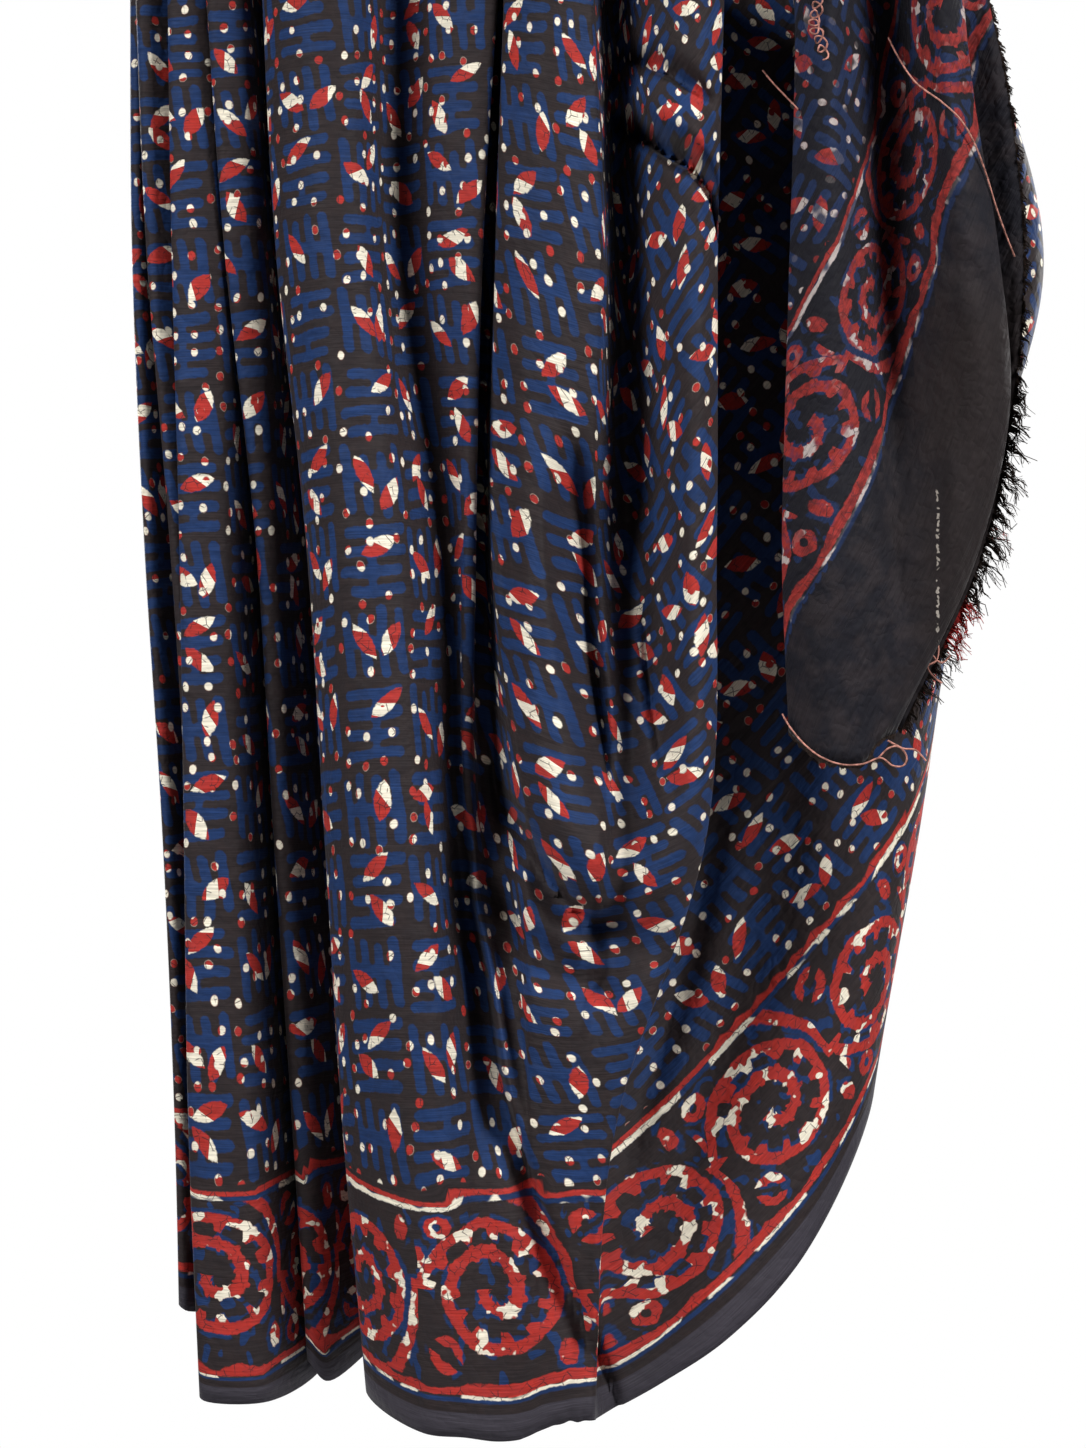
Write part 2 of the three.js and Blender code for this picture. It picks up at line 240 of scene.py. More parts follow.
@dataclass
class FoldedStrip:
    """A stretch of cloth that passes through a row of fold lines."""

    folds: Sequence[Fold]  # The fold lines, from left to right over the printed face.
    level_step: float  # The distance between the levels of the table.
    rows: int  # The number of divisions down the cloth.
    detail: int  # The number of divisions for each step in the table.
    # How close together the rows are, as (share of the way down, number).
    closeness: tuple[Pair, ...] = ((0.0, 1.0), (1.0, 1.0))
    # Where each column lies among the fold lines, filled in with the points.
    places: list[float] = field(default_factory=list)

    def column_of(self, name: str) -> int:
        """Returns the column of the points at which a named fold line lies."""
        index = [fold.line for fold in self.folds].index(name)
        return int(np.argmin(np.abs(np.array(self.places) - index)))

    def knots(self, points: list[Array]) -> tuple[list[Array], list[int], list[int]]:
        """Finds what the cloth passes through on its way across.

        Args:
            points: The points of each fold line, one for each row.

        Returns:
            The knots, the number of divisions after each, and the fold line that each belongs to. A fold
            with a bend gives two knots, one on each side of it.
        """
        knots, steps, owners = [], [], []
        for index, (fold, place) in enumerate(zip(self.folds, points)):
            if fold.bend == 0:
                knots.append(place)
                steps.append(fold.steps * self.detail)
                owners.append(index)
                continue
            to_last = points[index - 1] - place
            to_next = points[index + 1] - place
            room = BEND_ROOM * np.minimum(np.linalg.norm(to_last, axis=1), np.linalg.norm(to_next, axis=1))
            radius = np.minimum(fold.bend, room)[:, None]
            along = unit(unit(to_next) - unit(to_last)) * radius
            knots += [place - along, place + along]
            steps += [self.detail, fold.steps * self.detail]
            owners += [index, index]
        return knots, steps, owners

    def points(self) -> Array:
        """Finds the strip's points.

        Returns:
            An array of rows by columns by three.
        """
        fine = np.linspace(0.0, 1.0, SPACING_STEPS + 1)
        passed = np.cumsum(np.interp(fine, *np.array(self.closeness).T))
        parts = np.interp(np.linspace(passed[0], passed[-1], self.rows + 1), passed, fine)
        lines = []
        for fold in self.folds:
            z = fold.hem * parts
            level = -z / self.level_step
            lines.append(np.stack([along_line(fold.x, level), along_line(fold.y, level), z], axis=1))
        knots, steps, owners = self.knots(lines)
        first = 2 * knots[0] - knots[1]
        last = 2 * knots[-1] - knots[-2]
        run = [first, *knots, last]
        columns = []
        self.places = []
        for k in range(len(knots) - 1):
            for step in range(steps[k]):
                u = step / steps[k]
                columns.append(smooth_curve(run[k], run[k + 1], run[k + 2], run[k + 3], u))
                self.places.append(owners[k] + u * (owners[k + 1] - owners[k]))
        columns.append(knots[-1])
        self.places.append(float(owners[-1]))
        return np.stack(columns, axis=1)

    def spread(self, read: Callable[[Fold], float | Sequence[float]], z: Array) -> Array:
        """Spreads a value of the table over the strip's points.

        Args:
            read: Takes the value, or the row of values, from a fold.
            z: The heights of the points, rows by columns.

        Returns:
            The value at each point.
        """
        places = np.array(self.places)
        left = np.minimum(np.floor(places).astype(int), len(self.folds) - 2)
        share = places - left
        level = np.clip(-z / self.level_step, 0.0, LAST_LEVEL)
        table = np.stack([along_line(read(fold), level) for fold in self.folds])
        columns = np.arange(z.shape[1])
        a = table[left, :, columns].T
        b = table[left + 1, :, columns].T
        return a * (1 - share) + b * share


def surface_normals(points: Array, rises: bool) -> Array:
    """Finds the normals of a grid of points, out of the printed face.

    Args:
        points: Rows by columns by three.
        rises: Whether the rows go away from the hem, as on the loose end, or towards it.

    Returns:
        One unit vector for each point.
    """
    up = np.gradient(points, axis=0) * (1.0 if rises else -1.0)
    across = np.gradient(points, axis=1)
    return unit(np.cross(across, up))


# ===== The flat cloth: where each point of the folds lies on the length before it was hung =====


# A point that is held fast is held this strongly. An edge counts as no shorter than this.
FAST = 1000.0
SHORTEST_EDGE = 0.2
# The layout is settled when its error is down to this share of the first one, or after so many rounds.
SETTLED = 1e-10
MOST_ROUNDS = 6000


@dataclass
class FlatLayout:
    """Lays a folded strip flat, with its weft and warp turned as the table's grain says."""

    points: Array  # The strip's points, rows by columns by three.
    normals: Array  # The normals out of its printed face.
    grain: Array  # The slope of the weft at each point.
    seen: Array  # How much each point counts.

    def steps(self, axis: int) -> tuple[Array, Array, Array]:
        """Finds how far the flat cloth goes between neighbouring points.

        Args:
            axis: 0 for the edges down the rows, 1 for those across.

        Returns:
            The steps along the weft, those along the warp, and the weight of each edge.
        """
        edge = np.diff(self.points, axis=axis)
        head = [slice(None)] * 2
        tail = [slice(None)] * 2
        head[axis], tail[axis] = slice(None, -1), slice(1, None)

        def mean(values: Array) -> Array:
            """Returns the values half way along the edges."""
            return 0.5 * (values[tuple(head)] + values[tuple(tail)])

        normal = unit(mean(self.normals))
        up = unit(np.array([0.0, 0.0, 1.0]) - normal * normal[..., 2:3])
        side = np.cross(up, normal)
        slope = np.radians(mean(self.grain))
        run = (edge * side).sum(axis=-1)
        rise = (edge * up).sum(axis=-1)
        along_weft = np.cos(slope) * run + np.sin(slope) * rise
        along_warp = np.cos(slope) * rise - np.sin(slope) * run
        edge_length = np.maximum(np.linalg.norm(edge, axis=-1), SHORTEST_EDGE)
        return along_weft, along_warp, mean(self.seen) / edge_length

    def settle(self, steps: Sequence[Array], weights: Sequence[Array], pins: Array, values: Array) -> Array:
        """Finds the places that fit the steps best, by conjugate gradients.

        Args:
            steps: The wanted steps down the rows and across them.
            weights: The weights of those steps.
            pins: How strongly each point is held at its value.
            values: The values of the points that are held.

        Returns:
            One number for each point.
        """

        def spread(down: Array, across: Array) -> Array:
            """Returns what the edges add to their two ends."""
            total = np.zeros(self.points.shape[:2])
            total[1:] += down
            total[:-1] -= down
            total[:, 1:] += across
            total[:, :-1] -= across
            return total

        def pull(place: Array) -> Array:
            """Returns the pull of all edges and pins on a layout."""
            down = weights[0] * np.diff(place, axis=0)
            across = weights[1] * np.diff(place, axis=1)
            return spread(down, across) + pins * place

        goal = spread(weights[0] * steps[0], weights[1] * steps[1]) + pins * values
        stiffness = spread(-weights[0], -weights[1])
        stiffness[1:] += 2 * weights[0]
        stiffness[:, 1:] += 2 * weights[1]
        stiffness += pins
        place = np.cumsum(np.pad(steps[1], ((0, 0), (1, 0))), axis=1)
        down = np.cumsum(np.pad(steps[0].mean(axis=1), (1, 0)))
        place += down[:, None]
        error = goal - pull(place)
        ready = error / stiffness
        direction = ready.copy()
        size = float((error * ready).sum())
        start = size
        for _ in range(MOST_ROUNDS):
            if size < SETTLED * start:
                break
            pulled = pull(direction)
            reach = size / float((direction * pulled).sum())
            place += reach * direction
            error -= reach * pulled
            ready = error / stiffness
            last, size = size, float((error * ready).sum())
            direction = ready + (size / last) * direction
        return place

    def lay(self, pins: Array, heights: Array, start: tuple[int, int]) -> Array:
        """Lays the strip flat.

        Args:
            pins: How strongly each point is held at its height on the flat cloth.
            heights: Those heights, from the hem.
            start: The row and column of the point that lies at the start of the weft.

        Returns:
            Rows by columns by two: the places along the weft and the warp.
        """
        weft_down, warp_down, weight_down = self.steps(0)
        weft_across, warp_across, weight_across = self.steps(1)
        spacing_down = np.linalg.norm(np.gradient(self.points, axis=0), axis=-1)
        spacing_across = np.linalg.norm(np.gradient(self.points, axis=1), axis=-1)
        weight_down = weight_down * 0.5 * (spacing_across[1:] + spacing_across[:-1])
        weight_across = weight_across * 0.5 * (spacing_down[:, 1:] + spacing_down[:, :-1])
        weights = (weight_down, weight_across)
        hold = np.zeros(pins.shape)
        hold[start] = FAST
        along = self.settle((weft_down, weft_across), weights, hold, np.zeros(pins.shape))
        height = self.settle((warp_down, warp_across), weights, pins, heights)
        return np.stack([along, height], axis=-1)


# ===== The creases and tucks =====


@dataclass(frozen=True)
class Crease:
    """A ridge or trough that is laid on the folds along a listed path."""

    name: str
    between: tuple[str, str]  # The two fold lines between which it lies.
    # A row for each of its points: x and z seen from the front, how far it stands out (or in, if
    # negative), and half its width on the left and on the right of the path.
    path: tuple[tuple[float, float, float, float, float], ...]


# The rows of the hanging part are closer together across the tuck, as (share of the way down, number).
TUCK_ROWS = ((0.0, 1.0), (0.05, 1.0), (0.07, 2.4), (0.21, 2.4), (0.24, 1.0), (1.0, 1.0))
# A crease fades over so many columns where its fold lines end it.
FADE_COLUMNS = 3.0
# A crease's path is divided into so many pieces between each two of its points.
PATH_PIECES = 6

HANGING_CREASES = (
    Crease("ridge of the swag", ("swag left side", "swag edge"), (
        (-10, -400, 0, 14, 16), (-12, -470, 8, 14, 18), (-2, -530, 11, 16, 20), (12, -566, 14, 18, 20),
        (36, -592, 14, 20, 22), (64, -600, 13, 20, 20), (88, -570, 9, 18, 16), (98, -500, 0, 16, 14),
    )),
    Crease("dark side under the swag", ("trough beside swag", "swag edge"), (
        (-36, -490, 0, 7, 9), (-28, -547, -22, 7, 11), (-12, -580, -38, 7, 12), (8, -610, -42, 7, 13),
        (32, -632, -36, 8, 15), (60, -642, -20, 10, 18), (84, -636, 0, 12, 18),
    )),
    Crease("soft trough below it", ("second crest edge", "swag edge"), (
        (-44, -600, 0, 7, 9), (-24, -628, -20, 8, 11), (6, -654, -26, 9, 14), (36, -670, -18, 9, 18),
        (64, -672, 0, 10, 18),
    )),
    Crease("first crease inside the swag", ("swag left crest", "swag right crest"), (
        (18, -318, 0, 6, 12), (24, -350, -26, 8, 20), (27, -385, -36, 8, 22), (30, -430, -36, 6, 18),
        (35, -480, -36, 5, 14), (39, -526, -24, 5, 12), (38, -562, 0, 5, 9),
    )),
    Crease("shade down the swag's left arm", ("trough beside swag", "swag left crest"), (
        (-29, -180, 0, 6, 10), (-30, -260, -12, 8, 12), (-29, -330, -22, 8, 13), (-26, -400, -24, 8, 13),
        (-22, -470, -18, 8, 12), (-14, -540, 0, 6, 10),
    )),
    Crease("second crease inside the swag", ("swag hollow", "swag edge"), (
        (72, -380, 0, 8, 5), (68, -437, -14, 9, 4), (70, -482, -20, 9, 4), (78, -525, -13, 8, 4),
        (88, -550, 0, 7, 4),
    )),
    Crease("long sharp crease", ("front panel crest", "back layer start"), (
        (-49, -560, 0, 3, 14), (-48, -612, -16, 3, 15), (-38, -668, -24, 3, 16), (-27, -738, -26, 3, 17),
        (-13, -782, -25, 3, 17), (1, -823, -23, 3, 16), (17, -866, -20, 3, 15), (31, -900, -15, 3, 14),
        (47, -940, -9, 3, 13),
    )),
    Crease("shade behind the swag's edge", ("swag inside", "back layer middle"), (
        (122, -520, 0, 8, 30), (112, -590, -12, 8, 40), (98, -660, -18, 8, 45), (80, -715, -18, 8, 45),
        (62, -770, -10, 8, 40), (48, -820, 0, 8, 30),
    )),
    Crease("tuck near the top", ("swag left edge", "swag edge"), (
        (38, -80, 0, 8, 5), (54, -94, 12, 13, 5), (72, -110, 17, 14, 5), (96, -128, 17, 14, 5),
        (110, -144, 12, 11, 5), (117, -168, 0, 8, 4),
    )),
    Crease("dark side under the tuck", ("swag left edge", "swag edge"), (
        (40, -96, 0, 4, 6), (57, -112, -30, 4, 6), (80, -131, -42, 4, 6), (98, -145, -38, 4, 6),
        (110, -166, -24, 4, 5), (115, -198, 0, 4, 5),
    )),
    Crease("trough above the tuck", ("swag left edge", "swag edge"), (
        (44, -56, 0, 5, 6), (58, -66, -20, 5, 6), (82, -82, -26, 5, 6), (100, -98, -16, 5, 6),
        (110, -112, 0, 5, 6),
    )),
    Crease(
        "small tuck of the swag's arm", ("swag left side", "swag left edge"),
        ((-24, -290, 0, 5, 5), (8, -306, -5, 4, 8), (24, -330, 0, 5, 5)),
    ),
    Crease(
        "crease of the back layer", ("swag inside", "back layer middle"),
        ((116, -308, 0, 6, 6), (130, -336, 6, 4, 9), (144, -366, 0, 6, 6)),
    ),
)
LOOSE_CREASES = (
    Crease(
        "crease below the trough", ("front roll", "right fold"),
        ((217, -310, 0, 6, 9), (222, -350, -6, 5, 10), (229, -405, -6, 5, 10), (243, -455, 0, 6, 9)),
    ),
    Crease(
        "second crease", ("front roll", "right fold"),
        ((198, -365, 0, 6, 6), (209, -402, -3, 5, 7), (217, -436, -3, 5, 7), (226, -474, 0, 6, 6)),
    ),
    Crease(
        "slanting crease", ("slanting roll side", "right fold"),
        ((247, -180, 0, 5, 8), (264, -202, -4, 4, 9), (283, -222, -4, 4, 9), (296, -242, 0, 5, 8)),
    ),
    Crease(
        "soft ridge by the raw edge", ("slanting roll side", "right fold"),
        ((252, -300, 0, 9, 9), (262, -350, 5, 9, 9), (262, -400, 5, 9, 9), (250, -440, 0, 9, 9)),
    ),
)


def creased(strip: FoldedStrip, points: Array, creases: Sequence[Crease]) -> Array:
    """Lays creases on a strip.

    Args:
        strip: The strip.
        points: Its points.
        creases: The creases.

    Returns:
        The moved points.
    """
    moved = points.copy()
    names = [fold.line for fold in strip.folds]
    places = np.array(strip.places)
    for crease in creases:
        start, end = (names.index(name) for name in crease.between)
        columns = np.nonzero((places >= start) & (places <= end))[0]
        path = smooth_path(np.array(crease.path, float))
        run = np.diff(path[:, :2], axis=0)
        offset = points[:, columns][:, :, None, (0, 2)] - path[:-1, :2]
        share = np.clip((offset * run).sum(axis=-1) / (run**2).sum(axis=1), 0.0, 1.0)
        away = offset - share[..., None] * run
        distance = np.linalg.norm(away, axis=-1)
        closest = distance.argmin(axis=-1)
        gap = np.take_along_axis(distance, closest[..., None], axis=-1)[..., 0]
        part = np.take_along_axis(share, closest[..., None], axis=-1)
        here = path[closest] * (1 - part) + path[closest + 1] * part
        cross = run[:, 0] * away[..., 1] - run[:, 1] * away[..., 0]
        on_left = np.take_along_axis(cross, closest[..., None], axis=-1)[..., 0] > 0
        width = np.where(on_left, here[..., 3], here[..., 4])
        shape = here[..., 2] * np.exp(-((gap / width) ** 2))
        edge = np.minimum(columns - columns[0], columns[-1] - columns) / FADE_COLUMNS
        moved[:, columns, 1] -= shape * np.clip(edge, 0.0, 1.0)
    return moved


def smooth_path(points: Array) -> Array:
    """Returns a smooth line through a few points, divided into pieces between each two."""
    run = np.concatenate([[2 * points[0] - points[1]], points, [2 * points[-1] - points[-2]]])
    made = []
    for k in range(len(points) - 1):
        for piece in range(PATH_PIECES):
            a, b, c, d = (run[k + n][None] for n in range(4))
            made.append(smooth_curve(a, b, c, d, piece / PATH_PIECES)[0])
    made.append(points[-1])
    return np.array(made)


# ===== Shader nodes: numbers that vary over the surface =====


FLOAT = "NodeSocketFloat"
VECTOR = "NodeSocketVector"
COLOUR = "NodeSocketColor"
WHOLE = "NodeSocketInt"
SHAPE = "NodeSocketGeometry"
MATERIAL = "NodeSocketMaterial"

# How strong each finer size of a noise is, beside the one before it.
NOISE_ROUGHNESS = 0.55


class Term:
    """A value that varies over the surface, and the sums that make new ones from it."""

    def __init__(self, socket: NodeSocket) -> None:
        """Wraps the output socket of a node."""
        self.tree = socket.id_data
        self.socket = socket

    def math(self, operation: str, *others: Term | float) -> Term:
        """Returns the result of a Math node whose first value is this one."""
        return math_node(self.tree, operation, self, *others)

    def __add__(self, other: Term | float) -> Term:
        """Returns the sum."""
        return self.math("ADD", other)

    __radd__ = __add__

    def __sub__(self, other: Term | float) -> Term:
        """Returns the difference."""
        return self.math("SUBTRACT", other)

    def __rsub__(self, other: float) -> Term:
        """Returns a number less this value."""
        return math_node(self.tree, "SUBTRACT", other, self)

    def __mul__(self, other: Term | float) -> Term:
        """Returns the product."""
        return self.math("MULTIPLY", other)

    __rmul__ = __mul__

    def __truediv__(self, other: Term | float) -> Term:
        """Returns the quotient."""
        return self.math("DIVIDE", other)

    def __abs__(self) -> Term:
        """Returns the size without the sign."""
        return self.math("ABSOLUTE")

    def floor(self) -> Term:
        """Returns the whole number below."""
        return self.math("FLOOR")

    def least(self, other: Term | float) -> Term:
        """Returns the lesser value."""
        return self.math("MINIMUM", other)

    def most(self, other: Term | float) -> Term:
        """Returns the greater value."""
        return self.math("MAXIMUM", other)

    def over(self, limit: Term | float) -> Term:
        """Returns 1 where this is above the limit, and 0 elsewhere."""
        return self.math("GREATER_THAN", limit)

    def ramp(self, low: float, high: float, to_low: float = 0.0, to_high: float = 1.0) -> Term:
        """Goes smoothly from one value to another.

        Args:
            low: Where the way starts.
            high: Where it ends.
            to_low: The value at the start.
            to_high: The value at the end.

        Returns:
            The value at this place.
        """
        node = self.tree.nodes.new("ShaderNodeMapRange")
        node.interpolation_type = "SMOOTHSTEP"
        for name, value in (("From Min", low), ("From Max", high), ("To Min", to_low), ("To Max", to_high)):
            node.inputs[name].default_value = value
        self.tree.links.new(self.socket, node.inputs["Value"])
        return Term(node.outputs["Result"])

    def covers(self, blur: float) -> Term:
        """Turns a distance from an outline into a mask, 1 inside it, with an edge of that width."""
        return self.ramp(blur, -blur)


def plug(socket: NodeSocket, value: Term | float | str | Colour) -> None:
    """Feeds a socket with a value that varies, or sets it to a constant."""
    if isinstance(value, Term):
        socket.id_data.links.new(value.socket, socket)
    else:
        socket.default_value = value


def math_node(tree: NodeTree, operation: str, *values: Term | float) -> Term:
    """Makes a Math node.

    Args:
        tree: The node tree.
        operation: The node's operation.
        *values: Its values in order.

    Returns:
        The node's result.
    """
    node = tree.nodes.new("ShaderNodeMath")
    node.operation = operation
    for index, value in enumerate(values):
        plug(node.inputs[index], value)
    return Term(node.outputs[0])


def blend(share: Term, low: Term | float, high: Term | float) -> Term:
    """Returns low where the share is 0 and high where it is 1."""
    node = share.tree.nodes.new("ShaderNodeMix")
    node.data_type = "FLOAT"
    plug(node.inputs[0], share)
    plug(node.inputs[2], low)
    plug(node.inputs[3], high)
    return Term(node.outputs[0])


def blend_colour(share: Term | float, low: Term | Colour, high: Term | Colour, how: str = "MIX") -> Term:
    """Blends two colours.

    Args:
        share: How much of the blend shows.
        low: The colour where the share is 0.
        high: The colour that it is blended with.
        how: The Mix node's way of blending.

    Returns:
        The colour.
    """
    tree = next(value.tree for value in (share, low, high) if isinstance(value, Term))
    node = tree.nodes.new("ShaderNodeMix")
    node.data_type = "RGBA"
    node.blend_type = how
    plug(node.inputs[0], share)
    plug(node.inputs[6], low)
    plug(node.inputs[7], high)
    return Term(node.outputs[2])


def split(vector: Term) -> tuple[Term, Term, Term]:
    """Returns a vector's three parts."""
    node = vector.tree.nodes.new("ShaderNodeSeparateXYZ")
    vector.tree.links.new(vector.socket, node.inputs[0])
    return tuple(Term(output) for output in node.outputs)


def join(x: Term | float, y: Term | float, z: Term | float, tree: NodeTree) -> Term:
    """Returns the vector with those three parts."""
    node = tree.nodes.new("ShaderNodeCombineXYZ")
    for socket, value in zip(node.inputs, (x, y, z)):
        plug(socket, value)
    return Term(node.outputs[0])


def chance(tree: NodeTree, *cell: Term | float) -> tuple[Term, Term, Term]:
    """Draws three even chances from 0 to 1 that stay the same all over a cell."""
    node = tree.nodes.new("ShaderNodeTexWhiteNoise")
    node.noise_dimensions = "3D"
    plug(node.inputs["Vector"], join(*cell, tree=tree))
    return split(Term(node.outputs["Color"]))


def noise(place: Term, size: float, detail: float = 1.0, stretch: Pair | None = None) -> Term:
    """Makes soft noise over the flat cloth.

    Args:
        place: The place on the flat cloth.
        size: The size of its spots.
        detail: How many finer sizes are added.
        stretch: How much longer its spots are along the weft and the warp.

    Returns:
        The noise, from 0 to 1 about 0.5.
    """
    tree = place.tree
    if stretch:
        scale = tree.nodes.new("ShaderNodeVectorMath")
        scale.operation = "DIVIDE"
        tree.links.new(place.socket, scale.inputs[0])
        scale.inputs[1].default_value = (*stretch, 1.0)
        place = Term(scale.outputs[0])
    node = tree.nodes.new("ShaderNodeTexNoise")
    node.noise_dimensions = "2D"
    tree.links.new(place.socket, node.inputs["Vector"])
    node.inputs["Scale"].default_value = 1.0 / size
    node.inputs["Detail"].default_value = detail
    node.inputs["Roughness"].default_value = NOISE_ROUGHNESS
    return Term(node.outputs["Fac"])


@dataclass
class NodeGroup:
    """A shader node group under construction, with named inputs and outputs."""

    name: str
    inputs: dict[str, tuple[str, object]]  # Each input's name, its kind and its plain value.
    outputs: dict[str, str]  # Each output's name and its kind.
    family: str = "ShaderNodeTree"

    def __post_init__(self) -> None:
        """Makes the empty group."""
        self.tree = bpy.data.node_groups.new(self.name, self.family)
        for label, (kind, value) in self.inputs.items():
            made = self.tree.interface.new_socket(name=label, in_out="INPUT", socket_type=kind)
            if value is not None:
                made.default_value = value
        for label, kind in self.outputs.items():
            self.tree.interface.new_socket(name=label, in_out="OUTPUT", socket_type=kind)
        self.start = self.tree.nodes.new("NodeGroupInput")
        self.end = self.tree.nodes.new("NodeGroupOutput")

    def read(self, label: str) -> Term:
        """Returns what comes in under that name."""
        return Term(self.start.outputs[label])

    def give(self, label: str, value: Term) -> None:
        """Sends a value out under that name."""
        self.tree.links.new(value.socket, self.end.inputs[label])


def place_group(tree: NodeTree, group: NodeTree, **values: Term | float | Colour) -> dict[str, Term]:
    """Places a node group.

    Args:
        tree: The tree that it goes into.
        group: The group.
        **values: Its inputs by name, with _ for a space.

    Returns:
        Its outputs by name.
    """
    node = tree.nodes.new("ShaderNodeGroup")
    node.node_tree = group
    for name, value in values.items():
        plug(node.inputs[name.replace("_", " ")], value)
    return {output.name: Term(output) for output in node.outputs}


def new_material(name: str) -> tuple[Material, NodeTree, Node]:
    """Returns a new material, its nodes and its Principled BSDF."""
    made = bpy.data.materials.new(name)
    made.use_nodes = True
    return made, made.node_tree, made.node_tree.nodes["Principled BSDF"]


def new_object(name: str, data: bpy.types.ID) -> Object:
    """Returns a new object that is in the scene."""
    made = bpy.data.objects.new(name, data)
    bpy.context.scene.collection.objects.link(made)
    return made


# ===== The print: resist blocks for the field, a running scroll for the border =====

FLAT_PLACE = {"Flat": (VECTOR, None)}
DYES = {"Blue": FLOAT, "Red": FLOAT, "Cream": FLOAT}
# A distance past every outline, for what isn't printed.
FAR_OFF = 100.0
# Half the width of a dye's soft edge, and of the edge where the resist was printed.
DYE_BLUR = 0.5
RESIST_BLUR = 0.45


def length(x: Term, y: Term) -> Term:
    """Returns how far a place is from the middle."""
    return (x * x + y * y).math("SQRT")


class Draw(Enum):
    """The number that keeps one kind of chance in a cell apart from the others."""

    BAR = 9.0
    FIRST_LEAF = 21.0
    SECOND_LEAF = 22.0
    DOT = 40.0


@dataclass(frozen=True)
class BlockPrint:
    """The field's small repeat, a basket of level and upright groups of four strokes."""

    block: float = 48.0  # The side of one group's square.
    foot: float = 158.0  # Where the first row of groups starts on the flat cloth.
    waver: float = 5.0  # How far the lines of the print wander.
    lean: Pair = (-0.08, 0.14)  # How much the strokes of a level and of an upright group lean.
    pitch: float = 11.8  # The distance between strokes.
    half_length: Pair = (18.0, 4.0)  # Half the shortest stroke's length, and how much it may grow.
    half_width: Pair = (3.1, 0.6)  # The same for its width.
    slide: Pair = (5.5, 8.0)  # How far a stroke, and a bar across the strokes, may slide along them.
    bar_half_width: Pair = (2.4, 3.9)  # Half the width of the bar in a level and in an upright group.
    webbing: float = 3.5  # How much the corners between a stroke and a bar fill up.
    leaf: Pair = (12.0, 5.0)  # Half a leaf's length and half its width.
    leaf_slide: Pair = (20.0, 7.0)  # How far a leaf may slide along and across the strokes.
    leaf_printed: float = 0.74  # The share of the leaves that are printed.
    dot_cell: float = 16.0  # The average distance between dots.
    dot_radius: float = 2.4
    dot_printed: float = 0.66  # The share of the dots that are printed.
    dot_cream: float = 0.16  # The share of the dots that are cream wherever they lie.

    def strokes(self, p: Term, q: Term, upright: Term, cell: tuple[Term, Term]) -> Term:
        """Draws the four strokes of a group and the bar that joins them.

        Args:
            p: The place along the strokes.
            q: The place across them.
            upright: 1 in an upright group.
            cell: The group's column and row.

        Returns:
            The distance from their outline.
        """
        lane = (q / self.pitch + 2.0).floor().least(3.0).most(0.0)
        aside = q - (lane - 1.5) * self.pitch
        (shortest, longer), (thinnest, wider) = self.half_length, self.half_width
        first, second, third = chance(p.tree, *cell, lane)
        half = first * longer + shortest
        width = third * wider + thinnest
        past = (abs(p - (second - 0.5) * self.slide[0]) - (half - width)).most(0.0)
        stroke = length(past, aside) - width
        joined, bar_place, _ = chance(p.tree, *cell, Draw.BAR.value)
        through = upright.most(joined.over(0.6))
        pair = abs(abs(q) - self.pitch) - 0.5 * self.pitch
        reach = blend(through, pair, abs(q) - 1.5 * self.pitch)
        bar_width = blend(upright, *self.bar_half_width)
        bar = (abs(p - (bar_place - 0.5) * self.slide[1]) - bar_width).most(reach)
        return stroke.math("SMOOTH_MIN", bar, self.webbing)

    def one_leaf(
        self, p: Term, q: Term, draw: tuple[Term, Term, Term], middle: float, turn: float
    ) -> tuple[Term, Term]:
        """Draws one leaf of a group.

        Args:
            p: The place along the strokes.
            q: The place across them.
            draw: The chances that move it about.
            middle: Where it lies across the strokes.
            turn: How far it is turned, in radians.

        Returns:
            The distance from its outline, and 1 on its cream part.
        """
        slide, aside, swing = draw
        angle = swing * 1.1 + turn
        x = p - (slide - 0.5) * self.leaf_slide[0]
        y = q - (aside - 0.5) * self.leaf_slide[1] - middle
        cosine, sine = angle.math("COSINE"), angle.math("SINE")
        along = x * cosine + y * sine
        across = y * cosine - x * sine
        leaf_length, leaf_width = self.leaf
        hollow = (leaf_length**2 - leaf_width**2) / (2 * leaf_width)
        outline = length(along, abs(across) + hollow) - (hollow + leaf_width)
        cream = ((along + across * 0.9) * 0.23 + aside * 6.3).math("SINE").over(0.4)
        return outline + swing.over(self.leaf_printed) * FAR_OFF, cream

    def dots(self, u: Term, v: Term, uneven: Term, blue: Term) -> tuple[Term, Term]:
        """Draws the dots.

        Args:
            u: The place along the weft.
            v: The height above the hem.
            uneven: How rough the edges are at this place.
            blue: The distance from the outline of the strokes.

        Returns:
            The distance from the dots' outline, and 1 where they are cream.
        """
        u, v = u + 5.0, v + 8.0
        column, row = (u / self.dot_cell).floor(), (v / self.dot_cell).floor()
        jump_u, jump_v, drawn = chance(u.tree, column, row, Draw.DOT.value)
        from_u = u - (column + 0.5 + (jump_u - 0.5) * 0.55) * self.dot_cell
        from_v = v - (row + 0.5 + (jump_v - 0.5) * 0.55) * self.dot_cell
        outline = length(from_u, from_v * 0.86) - self.dot_radius + uneven * 0.5
        on_stroke = (blue * -1.0).over(0.0)
        cream = on_stroke.most(self.dot_cream - drawn).over(0.0)
        return outline + drawn.over(self.dot_printed) * FAR_OFF, cream

